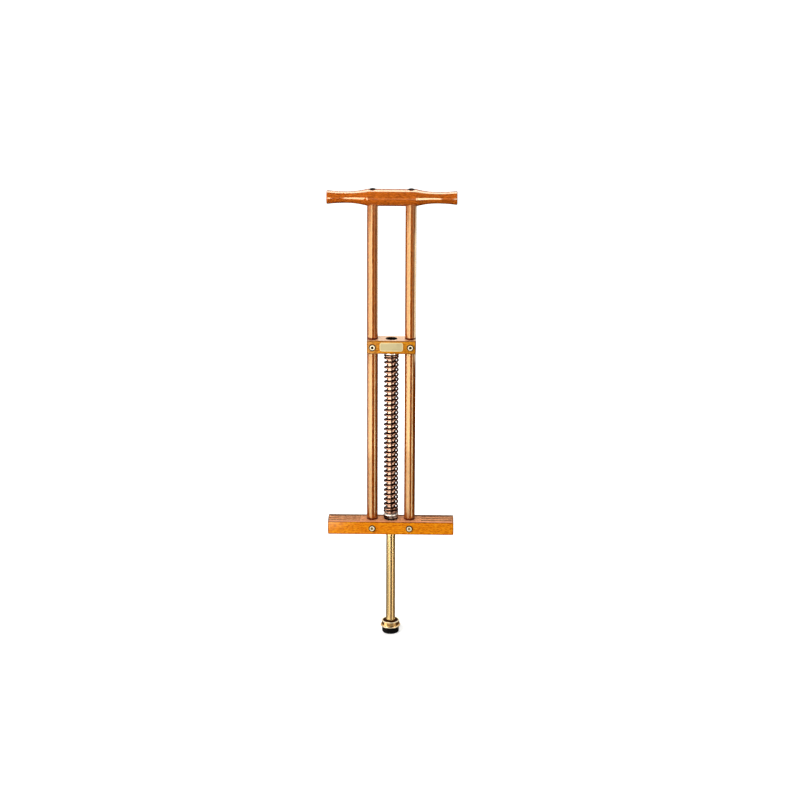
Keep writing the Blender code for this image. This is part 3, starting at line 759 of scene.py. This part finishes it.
def makeScrew(side):
    tall = span(f"handlebar_screw_{side}")[1].z - screwSeat - seatGap + screw["crown"]
    rise = tall - screw["rimHeight"]
    domeRadius = (screwHeadRadius ** 2 + rise ** 2) / (2 * rise)
    spread = math.asin(screwHeadRadius / domeRadius)
    shank = screw["diameter"] / 2
    profile = arcPoints((0, tall - domeRadius), domeRadius, quarter, quarter - spread, screw["domeSteps"])
    profile[0] = (0, tall)
    profile += [(screwHeadRadius, 0), (shank, 0), (shank, shank - screw["length"]), (0, -screw["length"])]
    place = (sideX[side], 0, screwSeat + seatGap)
    piece = socketed(f"handlebarScrew-{side}", profile, tall, screwHeadRadius, place, 0)
    finishes = [screwBlack, socketDark, screwBlack]
    finished(piece, "frame", f"handlebar_screw_{side}", finishes)


for side in sideX:
    makeScrew(side)
    for host in boltHosts:
        makeBolt(host, side)
        makeNut(host, side)
print("bolts and screws made")

# Uprights

upright = {"endChamfer": 0.001, "sides": 64, "rings": 24, "baseShadeRing": 0.0042}


def makeUpright(side):
    low, high = span(f"{side}_upright")
    chamfer = upright["endChamfer"]
    heights = list(np.linspace(high.z - chamfer, low.z + chamfer, upright["rings"]))
    hostTops = [host[1].z for host in boltHosts.values()]
    for top in hostTops:
        heights += [top, top + upright["baseShadeRing"]]
    heights.sort(reverse=True)
    profile = [(0, high.z), (uprightRadius - chamfer, high.z)]
    profile += [(uprightRadius, height) for height in heights]
    profile += [(uprightRadius - chamfer, low.z), (0, low.z)]
    piece = moved(turned(f"dowelUpright-{side}", profile, upright["sides"]), (sideX[side], 0, 0))
    cutters = []
    for host in boltHosts.values():
        cutters += boltCutters(sideX[side], *host)
    carve(piece, cutters + [screwHole(sideX[side], high.z)])
    for face in piece.data.polygons:  # painted shade on the dowels just over the block and the footrest
        for top in hostTops:
            if top < face.center.z < top + upright["baseShadeRing"] and abs(face.normal.z) < flatShare:
                face.material_index = 1
    finished(piece, "frame", f"{side}_upright", [dowelWood, dowelBaseShade])


for side in sideX:
    makeUpright(side)
print("uprights made")

# Footrest

footrest = {
    "edge": 0.0012,
    "grooves": 3,
    "grooveSpacing": 0.013,
    "grooveWidth": 0.0045,
    "grooveDepth": 0.002,
    "grooveStart": 0.070,
    "grooveRound": 0.0011,
    "grooveBend": 0.00033,
    "noseSteps": 10,
    "lip": 0.0003,
    "socketDepth": 0.022,
}
bushRadius = sizeOf("lower_guide_bush").x / 2


def grooveCutter(direction, y):
    # rings of the groove's outline, from its rounded floor up to its chamfered lips, which take a painted
    # highlight
    half = footrest["grooveWidth"] / 2
    floor = footHigh.z - footrest["grooveDepth"]
    lip = footrest["lip"]
    levels = [
        (floor, half - footrest["grooveRound"]),
        (floor + footrest["grooveBend"], half - footrest["grooveBend"]),
        (floor + footrest["grooveRound"], half),
        (footHigh.z - lip, half),
        (footHigh.z, half + lip),
        (footHigh.z + overrun, half + lip + overrun),
    ]
    end = footHigh.x + overrun
    verts = []
    for height, reach in levels:
        middle = (footrest["grooveStart"] + half, 0)
        outline = arcPoints(middle, reach, quarter, 3 * quarter, footrest["noseSteps"])
        outline += [(end, -reach), (end, reach)]
        verts += [(direction * x, y + across, height) for x, across in outline]
    return stacked("groove", verts, len(outline))


def sawnFace(face, low, high):
    # the flat ends and the underside of a plank
    atEnd = abs(face.normal.x) > flatShare and min(face.center.x - low.x, high.x - face.center.x) < hair
    return atEnd or (face.normal.z < -flatShare and face.center.z < low.z + hair)


def topFace(face, high):
    return face.normal.z > flatShare and face.center.z > high.z - hair


def makeFootrest():
    plank = plankPiece("footrestPlank", footLow, footHigh, footrest["edge"])
    cutters = [standingHole(0, footLow.z - overrun, footHigh.z + overrun, bushRadius + seatGap)]
    for direction in (-1, 1):
        for i in range(footrest["grooves"]):
            y = (i - (footrest["grooves"] - 1) / 2) * footrest["grooveSpacing"]
            cutters.append(grooveCutter(direction, y))
    for x in sideX.values():
        socketFloor = footHigh.z - footrest["socketDepth"]
        cutters.append(standingHole(x, socketFloor, footHigh.z + overrun, uprightRadius + seatGap))
        cutters += boltCutters(x, footLow, footHigh)
    carve(plank, cutters)
    finishes = [footrestWood, footrestEdgeShade, treadWood, grooveShade, lipHighlight, sawnWood]
    deepest = footHigh.z - footrest["grooveDepth"] - hair
    grooved = footrest["grooveSpacing"] * footrest["grooves"] / 2
    for face in plank.data.polygons:
        middle = face.center
        facesUp = face.normal.z > flatShare - 1 and abs(face.normal.x) < flatShare
        if sawnFace(face, footLow, footHigh):
            face.material_index = finishes.index(sawnWood)
        elif topFace(face, footHigh):
            face.material_index = finishes.index(treadWood)
        elif abs(middle.x) > footrest["grooveStart"] and abs(middle.y) < grooved:
            if facesUp and deepest < middle.z < footHigh.z - hair:
                litLip = middle.z > footHigh.z - footrest["lip"]
                face.material_index = finishes.index(lipHighlight if litLip else grooveShade)
    finished(plank, "frame", "footrest", finishes, flatSided=True)


makeFootrest()
print("footrest made")

# Upper block

block = {"edge": 0.0012}


def notchCutter(x):
    radius = uprightRadius + seatGap
    outward = math.copysign(1, x)
    reach = uprightRadius + overrun
    outline = arcPoints((0, 0), radius, quarter, 3 * quarter, roundSides // 2)
    outline += [(reach, -radius), (reach, radius)]
    outline = [(x + outward * along, across) for along, across in outline]
    return prism("notch", outline, blockLow.z - overrun, blockHigh.z + overrun)


def makeBlock():
    piece = plankPiece("crossBlock", blockLow, blockHigh, block["edge"])
    cutters = [standingHole(0, blockLow.z - overrun, blockHigh.z + overrun, bushRadius + seatGap)]
    for x in sideX.values():
        cutters.append(notchCutter(x))
        cutters += boltCutters(x, blockLow, blockHigh)
    carve(piece, cutters)
    finishes = [blockWood, blockEdgeShade, blockTopLight, sawnWood]
    for face in piece.data.polygons:
        if sawnFace(face, blockLow, blockHigh):
            face.material_index = finishes.index(sawnWood)
        elif topFace(face, blockHigh):
            face.material_index = finishes.index(blockTopLight)
    finished(piece, "frame", "upper_block", finishes, flatSided=True)


makeBlock()
print("block made")

# Plate on the front of the block, left bare

plate = {"corner": 0.005, "cornerSteps": 8, "border": 0.002, "sunk": 0.00025, "edge": 0.00025}


def roundedOutline(width, height, corner):
    across = width / 2 - corner
    up = height / 2 - corner
    outline = []
    for i, centre in enumerate([(across, up), (-across, up), (-across, -up), (across, -up)]):
        outline += arcPoints(centre, corner, i * quarter, (i + 1) * quarter, plate["cornerSteps"])
    return outline


def makePlate():
    low, high = span("name_plate")
    size = high - low
    piece = prism("barePlate", roundedOutline(size.x, size.z, plate["corner"]), 0, size.y, plate["edge"])
    inset = 2 * plate["border"]
    inner = roundedOutline(size.x - inset, size.z - inset, plate["corner"] - plate["border"])
    carve(piece, [prism("field", inner, size.y - plate["sunk"], size.y + overrun)])
    for face in piece.data.polygons:
        onFront = face.normal.z > flatShare and face.center.z > size.y / 2
        face.material_index = int(onFront and face.center.z < size.y - plate["sunk"] / 2)
    moved(piece, ((low.x + high.x) / 2, high.y, (low.z + high.z) / 2), (quarter, 0, 0))
    finished(piece, "frame", "name_plate", [plateRimHighlight, plateBrass], flatSided=True)


makePlate()
print("plate made")

# Rod, guides, washers and stop

rodLow, rodHigh = span("plunger_rod")
rodRadius = (rodHigh.x - rodLow.x) / 2
rod = {"wall": 0.002, "chamfer": 0.0006, "springShadeFrom": footHigh.z + 0.002}
bush = {"edge": 0.0005}
washer = {"edge": 0.0007}
collar = {
    "turn": math.radians(17),
    "acrossFlats": 0.030,
    "faceSetback": 0.0002,
    "cornerMargin": 0.0004,
    "chamferSlope": math.radians(30),
}
pin = {"diameter": 0.004, "edge": 0.0005, "setback": 0.0005}
bumper = {"edge": 0.001}
plug = {"edge": 0.0008, "capEdge": 0.0002}
stemRadius = rodRadius - rod["wall"] - seatGap  # of what is pushed into the rod's ends


def makeRing(name, node, body, slotName, material, edge, inner=rodRadius + seatGap):
    low, high = span(node)
    outer = (high.x - low.x) / 2
    corners = [(inner, high.z, edge), (outer, high.z, edge), (outer, low.z, edge), (inner, low.z, edge)]
    piece = turned(name, softened(corners, closed=True), closed=True)
    finished(piece, body, node, [material])


def acrossCollar(piece):
    return moved(piece, (0, 0, middleOf("stop_collar").z), (quarter, 0, collar["turn"]))


def pinHole():
    reach = collar["acrossFlats"] / 2 + overrun
    radius = pin["diameter"] / 2 + seatGap
    return acrossCollar(cylinder(-reach, reach, radius))


def makeRod():
    bore = rodRadius - rod["wall"]
    corners = [
        (bore, rodHigh.z, rod["chamfer"] / 2),
        (rodRadius, rodHigh.z, rod["chamfer"]),
        (rodRadius, rod["springShadeFrom"], 0),
        (rodRadius, rodLow.z, rod["chamfer"]),
        (bore, rodLow.z, rod["chamfer"] / 2),
    ]
    piece = turned("goldenRod", softened(corners, closed=True), closed=True)
    carve(piece, [pinHole()])
    for face in piece.data.polygons:
        face.material_index = int(face.center.z > rod["springShadeFrom"])
    finished(piece, "plunger", "plunger_rod", [goldenZinc, rodShadeInSpring])


def makeCollar():
    low, high = span("stop_collar")
    piece = prism("hexCollar", hexagon(collar["acrossFlats"]), low.z, high.z)
    moved(piece, (0, 0, 0), (0, 0, collar["turn"]))
    corner = collar["acrossFlats"] / math.sqrt(3) + collar["cornerMargin"]
    face = collar["acrossFlats"] / 2 - collar["faceSetback"]
    slope = (corner - face) * math.tan(collar["chamferSlope"])
    outer = [(0, high.z), (face, high.z), (corner, high.z - slope), (corner, low.z + slope)]
    outer += [(face, low.z), (0, low.z)]
    carve(piece, [turned("chamfer", outer)], "INTERSECT")
    carve(piece, [standingHole(0, low.z - overrun, high.z + overrun, rodRadius + seatGap), pinHole()])
    finished(piece, "plunger", "stop_collar", [blackSteel], flatSided=True)


def makePin():
    half = collar["acrossFlats"] / 2 - pin["setback"]
    radius = pin["diameter"] / 2
    corners = [(0, half, 0), (radius, half, pin["edge"]), (radius, -half, pin["edge"]), (0, -half, 0)]
    piece = acrossCollar(turned("crossPin", softened(corners), smallSides))
    finished(piece, "plunger", "stop_pin", [blackSteel])


def makePlug():
    low, high = span("rod_end_plug")
    capFloor = rodHigh.z + seatGap
    corners = [
        (0, high.z, 0),
        (rodRadius, high.z, plug["edge"]),
        (rodRadius, capFloor, plug["capEdge"]),
        (stemRadius, capFloor, 0),
        (stemRadius, low.z, plug["edge"]),
        (0, low.z, 0),
    ]
    finished(turned("rodEndPlug", softened(corners)), "plunger", "rod_end_plug", [nylon])


makeRod()
makeCollar()
makePin()
makePlug()
for row in (
    ("upperGuide", "upper_guide_bush", "frame", "black_nylon", nylon, bush["edge"]),
    ("lowerGuide", "lower_guide_bush", "frame", "black_nylon", nylon, bush["edge"]),
    ("upperSpringWasher", "upper_spring_washer", "frame", "zinc_washer", zinc, washer["edge"]),
    ("lowerSpringWasher", "lower_spring_washer", "spring_seat", "zinc_washer", zinc, washer["edge"]),
    ("stopBumper", "stop_bumper", "plunger", "black_rubber", rubber, bumper["edge"]),
):
    makeRing(*row)
print("rod and stop made")

# Spring

spring = {
    "bottom": span("lower_spring_washer")[1].z + seatGap,
    "top": span("upper_spring_washer")[0].z - seatGap,
    "diameter": 0.0344,
    "wire": 0.0046,
    "turns": 35,
    "closedTurns": 1,
    "closedGap": 0.0009,
    "stepsPerTurn": 40,
    "wireSides": 16,
    "shadeInside": -0.3,  # painted shade on the inside and the underside of the wire
    "shadeBelow": -0.5,
    "travel": 0.18,
}


def springPath():
    steps = spring["stepsPerTurn"]
    turns = np.arange(spring["turns"] * steps + 1) / steps
    middles = (turns[1:] + turns[:-1]) / 2
    fromEnd = np.minimum(middles, spring["turns"] - middles)
    openness = np.clip(fromEnd - spring["closedTurns"], 0, 1)
    closedPitch = spring["wire"] + spring["closedGap"]
    spare = spring["top"] - spring["bottom"] - spring["wire"] - closedPitch * spring["turns"]
    rise = closedPitch / steps + spare * openness / openness.sum()
    height = spring["bottom"] + spring["wire"] / 2 + np.concatenate([[0], np.cumsum(rise)])
    radius = (spring["diameter"] - spring["wire"]) / 2
    angle = 2 * math.pi * turns
    return np.column_stack([radius * np.cos(angle), radius * np.sin(angle), height])


def makeSpring():
    path = springPath()
    sides = spring["wireSides"]
    radius = spring["wire"] / 2
    verts = []
    for centre, heading in zip(path, np.gradient(path, axis=0)):
        outward = Vector((centre[0], centre[1], 0)).normalized()
        upward = Vector(heading).normalized().cross(outward).normalized()
        for i in range(sides):
            angle = 2 * math.pi * i / sides
            verts.append(Vector(centre) + radius * (outward * math.cos(angle) + upward * math.sin(angle)))
    facings = [2 * math.pi * (i + 0.5) / sides for i in range(sides)]
    shadedSides = [math.cos(a) < spring["shadeInside"] or math.sin(a) < spring["shadeBelow"] for a in facings]
    piece = stacked("coilSpring", verts, sides, shadedSides)
    finished(piece, "frame", "spring", [springSteel, wireShade])
    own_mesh(piece)


makeSpring()
print("spring wound")

# Foot

ferrule = {
    "rimWall": 0.003,
    "rimBand": 0.004,
    "rimStep": 0.0005,
    "cupDepth": 0.004,
    "rimHighlightBand": 0.0016,
    "beadHighlightBand": 0.0007,
    "rim": 0.0415,
    "neck": 0.0408,
    "shoulder": 0.0016,
    "bead": 0.0468,
    "beadBand": 0.0015,
    "beadLevel": 0.0034,
    "base": 0.0405,
    "cupMargin": 0.0001,
    "cupUnder": 0.001,
    # of its corners, from the cup's lip down the outside and back up the inside
    "rounds": (0.0006, 0.0008, 0.0007, 0.0006, 0.0008, 0.0007, 0.0007, 0.0004, 0.0003, 0.0004, 0.0008),
}
tip = {
    "diameter": 0.039,
    "edge": 0.003,
    "stemRound": 0.001,
    "shoulderRound": 0.0006,
    "soleGroove": 0.0006,
    "soleRings": (0.0065, 0.0115),
    "ringTop": 0.0012,
    "ringFloor": 0.0008,
    "ringRound": 0.0002,
    "steps": 5,
}
tipWasher = {"edge": 0.0003}


def makeFerrule():
    low, high = span("foot_ferrule")
    rim = ferrule["rim"] / 2
    neck = ferrule["neck"] / 2
    bead = ferrule["bead"] / 2
    cup = rim - ferrule["rimWall"]
    bore = rodRadius + seatGap
    rimLow = high.z - ferrule["rimBand"]
    cupFloor = high.z - ferrule["cupDepth"]
    beadAt = low.z + ferrule["beadLevel"]
    band = ferrule["beadBand"] / 2
    places = [
        (cup, high.z),
        (rim, high.z),
        (rim, rimLow),
        (neck, rimLow - ferrule["rimStep"]),
        (neck, beadAt + band + ferrule["shoulder"]),
        (bead, beadAt + band),
        (bead, beadAt - band),
        (ferrule["base"] / 2, low.z),
        (bore, low.z),
        (bore, cupFloor),
        (cup, cupFloor),
    ]
    corners = [(*place, rounding) for place, rounding in zip(places, ferrule["rounds"])]
    piece = turned("footFerrule", softened(corners, closed=True), closed=True)
    for face in piece.data.polygons:  # painted highlight on the rim and the bead, and painted shade in the cup
        out = math.hypot(face.center.x, face.center.y)
        if out < cup + ferrule["cupMargin"] and face.center.z > cupFloor - ferrule["cupUnder"]:
            face.material_index = 2
        elif face.center.z > high.z - ferrule["rimHighlightBand"] or out > bead - ferrule["beadHighlightBand"]:
            face.material_index = 1
    finished(piece, "plunger", "foot_ferrule", [ferruleBrass, rimHighlightBrass, cupShadeBrass])


def makeTip():
    high = span("rubber_tip")[1]
    radius = tip["diameter"] / 2
    shoulder = span("foot_ferrule")[0].z - seatGap
    corners = [
        (0, high.z, 0),
        (stemRadius, high.z, tip["stemRound"]),
        (stemRadius, shoulder, 0),
        (radius, shoulder, tip["shoulderRound"]),
        (radius, 0, tip["edge"]),
    ]
    for middle in reversed(tip["soleRings"]):
        for reach, deep in (("ringTop", 0), ("ringFloor", tip["soleGroove"])):
            corners.append((middle + tip[reach], deep, tip["ringRound"]))
        for reach, deep in (("ringFloor", tip["soleGroove"]), ("ringTop", 0)):
            corners.append((middle - tip[reach], deep, tip["ringRound"]))
    corners.append((0, 0, 0))
    piece = turned("rubberFoot", softened(corners, steps=tip["steps"]))
    finished(piece, "plunger", "rubber_tip", [rubber])


makeFerrule()
makeTip()
makeRing("footWasher", "tip_washer", "plunger", "zinc_washer", zinc, tipWasher["edge"], stemRadius + seatGap)
print("foot made")

# Camera at the photograph's angle

view = {
    "azimuth": math.radians(0.822),
    "pitch": math.radians(17.61),
    "roll": math.radians(0.274),
    "distance": 5.1512,
    "aside": 0.0198,
    "aimHeight": 0.5681,
    "lens": 102.208,
}


def makeCamera():
    azimuth = view["azimuth"]
    right = Vector((math.cos(azimuth), math.sin(azimuth), 0))
    front = Vector((math.sin(azimuth), -math.cos(azimuth), 0))
    back = front * math.cos(view["pitch"]) + Vector((0, 0, math.sin(view["pitch"])))
    up = back.cross(right)
    aim = Vector((0, 0, view["aimHeight"])) + right * view["aside"]
    matrix = Matrix((right, up, back)).transposed().to_4x4() @ Matrix.Rotation(view["roll"], 4, "Z")
    matrix.translation = aim + back * view["distance"]
    camera = linked("camera", bpy.data.cameras.new("camera"))
    camera.matrix_world = matrix
    camera.data.lens = view["lens"]
    bpy.context.scene.camera = camera


makeCamera()

# Studio: azimuth 0 is straight in front and + is to the right. A lamp's row gives the azimuths it spans,
# its lower and upper edge, its distance and its radiance

softboxes = {
    "keyLeft": (-62, -6, 0.65, 2.0, 1.6, 7.0),
    "softRight": (15, 55, 0.65, 1.8, 1.6, 0.8),
    "backBox": (140, 220, 0.3, 1.7, 2.4, 2.4),
}
shineCards = {  # bright cards that only the varnish and the metal see
    "lowFarLeft": (-100, -54, 0.0, 0.28, 1.3, 4.0),
    "lowLeft": (-54, -8, 0.0, 0.28, 1.3, 5.4),
    "lowRight": (40, 60, 0.0, 0.3, 1.3, 6.0),
    "middleLeft": (-96, -26, 0.3, 0.66, 1.3, 2.9),
    "middleRight": (36, 54, 0.3, 0.72, 1.3, 0.8),
    "middleLine": (-25, -8, 0.29, 0.82, 1.3, 6.4),
}
gripNames = ("turnedHandlebar",)
dowelNames = ("dowelUpright-left", "dowelUpright-right")
aimedCards = {  # each of these is seen by a few pieces alone
    "gripLeft": ((-30, -5.7, 0.50, 1.17, 1.2, 8.5), gripNames),
    "gripRight": ((2.9, 30, 0.50, 1.17, 1.2, 10.0), gripNames),
    "rightWall": ((93, 150, 0.28, 0.72, 1.3, 4.0), dowelNames),
    "rightLine": ((-10, 4, 0.0, 0.45, 0.8, 6.4), dowelNames[1:]),
    "rightEdge": ((76, 108, 0.3, 0.66, 1.3, 4.5), dowelNames[1:]),
    "collarGlint": ((30, 82, -0.05, 0.22, 0.7, 9.0), ("hexCollar",)),
    "blockLeft": ((-30, -4.0, 0.2, 0.5, 1.2, 2.6), ("crossBlock",)),
}
topBox = {"size": (1.6, 0.9), "place": (0, 0.5, 2.2), "radiance": 2.8}
topShine = dict(topBox, place=(0, 0.5, 2.15), radiance=7.2)
cardBands = {  # distances where each begins and is full, then its brightness by azimuth
    "near": ((0.67, 0.64), [
        (-110, 0.25), (-98, 0.42), (-62, 0.45), (-55, 0.62), (-40, 0.7), (-32, 1.1), (-8, 1.1), (-3, 0.1),
        (34, 0.1), (38, 1.15), (62, 1.15), (68, 0.14), (100, 0.14), (115, 0.25)]),
    "far": ((0.765, 0.785), [
        (-104, 0.06), (-98, 5.0), (-56, 5.0), (-52, 6.6), (-14, 6.6), (-9, 0.06), (38, 0.06), (43, 7.2),
        (59, 7.2), (64, 0.06)]),
    "beyond": ((1.35, 1.6), [
        (-104, 0.06), (-98, 3.6), (-56, 3.6), (-52, 4.2), (-14, 4.2), (-9, 0.06), (32, 0.06), (37, 1.3),
        (50, 1.3), (56, 0.06)]),
    "foot": ((0.1, 0.085), [
        (-110, 0.08), (-84, 0.1), (-70, 2.2), (-46, 2.2), (-36, 0.42), (30, 0.4), (44, 0.9), (56, 0.9),
        (66, 0.09), (115, 0.08)]),
}
studio = {
    "fill": 0.18,
    "frontShade": 0.04,
    "behindFrom": (-0.05, 0.12),
    "floorRadius": 12.0,
    "floorColour": (236, 236, 234),
    "floorBounce": (120, 118, 115),
    "floorRough": 0.9,
    "glowFrom": (0.25, 1.1),
    "glow": (0.42, 1.05),
    "cardRadius": 4.5,
    "cardLift": 0.0008,
    "sides": 128,
    "brown": 0.2,  # shades under this are brownish
    "shineTint": (1.0, 0.97, 0.92),
    "shadeTint": (1.0, 0.5, 0.14),
}
white = (1, 1, 1, 1)
black = (0, 0, 0, 1)


def areaLamp(name, width, height, radiance):
    data = bpy.data.lights.new(name, "AREA")
    data.shape = "RECTANGLE"
    data.size = width
    data.size_y = height
    data.energy = radiance * math.pi * data.size * data.size_y
    lamp = linked(name, data)
    lamp.visible_camera = False
    return lamp


def standingLamp(name, start, end, low, high, away, radiance):
    middle = math.radians((start + end) / 2)
    half = math.radians((end - start) / 2)
    lamp = areaLamp(name, 2 * away * math.tan(half), high - low, radiance)
    place = (away * math.sin(middle), -away * math.cos(middle), (high + low) / 2)
    turn = Matrix.Rotation(middle, 4, "Z") @ Matrix.Rotation(quarter, 4, "X")
    lamp.matrix_world = Matrix.Translation(place) @ turn
    return lamp


def linkTo(lamp, names, linkState):
    group = bpy.data.collections.new(lamp.name + "Link")
    for name in names:
        group.objects.link(bpy.data.objects[name])
    for entry in group.collection_objects:
        entry.light_linking.link_state = linkState
    lamp.light_linking.receiver_collection = group


def makeShineCard(name, row, names, linkState):
    card = standingLamp(name, *row)
    card.data.color = studio["shineTint"]
    card.visible_diffuse = False
    linkTo(card, names, linkState)


def makeTopBox(name, box):
    lamp = areaLamp(name, *box["size"], box["radiance"])
    lamp.location = box["place"]
    return lamp


def pictureRays(tree):
    path = addNode(tree, "LightPath", {}).outputs
    seen = maths(tree, "MAXIMUM", path["Is Camera Ray"], path["Is Transmission Ray"])
    return seen, path["Is Glossy Ray"]


def makeWorld():
    world = bpy.data.worlds.new("studioWorld")
    world.use_nodes = True
    tree = world.node_tree
    seen, glossy = pictureRays(tree)
    depth = axisOf(tree, coordsOf(tree, "Generated"), "Y")
    behind = remap(tree, depth, *studio["behindFrom"], studio["frontShade"], 1)
    shown = maths(tree, "MAXIMUM", seen, maths(tree, "MULTIPLY", glossy, behind))
    plain = maths(tree, "SUBTRACT", 1, maths(tree, "MAXIMUM", seen, glossy))
    strength = maths(tree, "ADD", shown, maths(tree, "MULTIPLY", plain, studio["fill"]))
    feed(tree, tree.nodes["Background"], {"Color": white, "Strength": strength})
    bpy.context.scene.world = world


def makeFloor():
    floor = turned("floor", [(0, 0), (studio["floorRadius"], 0)], studio["sides"])
    material, tree, shader = newMaterial("paleFloor")
    shown = maths(tree, "MAXIMUM", *pictureRays(tree))
    glow = remap(tree, reachOf(tree), *studio["glowFrom"], *studio["glow"])
    feed(tree, shader, {
        "Base Color": mixed(tree, shown, paint(*studio["floorBounce"]), paint(*studio["floorColour"])),
        "Roughness": studio["floorRough"],
        "Specular IOR Level": 0,
        "Emission Color": white,
        "Emission Strength": maths(tree, "MULTIPLY", shown, glow),
    })
    floor.data.materials.append(material)


def azimuthShades(tree, stops):
    # brightness by azimuth on the card, stops are (azimuth, brightness)
    gradient = addNode(tree, "TexGradient", {"Vector": coordsOf(tree)}, gradient_type="RADIAL")
    ramp = addNode(tree, "ValToRGB", {"Fac": gradient.outputs["Fac"]})
    elements = ramp.color_ramp.elements
    while len(elements) < len(stops):
        elements.new(1)
    for element, (azimuth, shade) in zip(elements, stops):
        element.position = 0.25 + azimuth / 360
        tints = studio["shadeTint"] if shade < studio["brown"] else studio["shineTint"]
        element.color = tuple(shade * tint for tint in tints) + (1,)
    return ramp.outputs["Color"]


def makeCard():
    # a shaded card on the floor that only reflections see
    lift = studio["cardLift"]
    card = turned("shadedCard", [(0, lift), (studio["cardRadius"], lift)], studio["sides"])
    material = newMaterial("cardShades")[0]
    tree = material.node_tree
    tree.nodes.clear()
    reach = reachOf(tree)
    colour = black
    for edges, stops in cardBands.values():
        colour = mixed(tree, remap(tree, reach, *edges, 0, 1), colour, azimuthShades(tree, stops))
    glow = addNode(tree, "Emission", {"Color": colour})
    addNode(tree, "OutputMaterial", {"Surface": glow.outputs["Emission"]})
    card.data.materials.append(material)
    for rays in ("camera", "diffuse", "shadow", "transmission", "volume_scatter"):
        setattr(card, "visible_" + rays, False)
    linkTo(card, gripNames, "EXCLUDE")


for name, row in softboxes.items():
    standingLamp(name, *row).visible_glossy = False
for name, row in shineCards.items():  # the grips get cards of their own
    makeShineCard(name, row, gripNames, "EXCLUDE")
for name, (row, names) in aimedCards.items():
    makeShineCard(name, row, names, "INCLUDE")
makeTopBox("topBox", topBox).visible_glossy = False
makeTopBox("topShine", topShine).visible_diffuse = False
makeWorld()
makeFloor()
makeCard()
bpy.context.scene.view_settings.view_transform = "Standard"
print("studio lit")
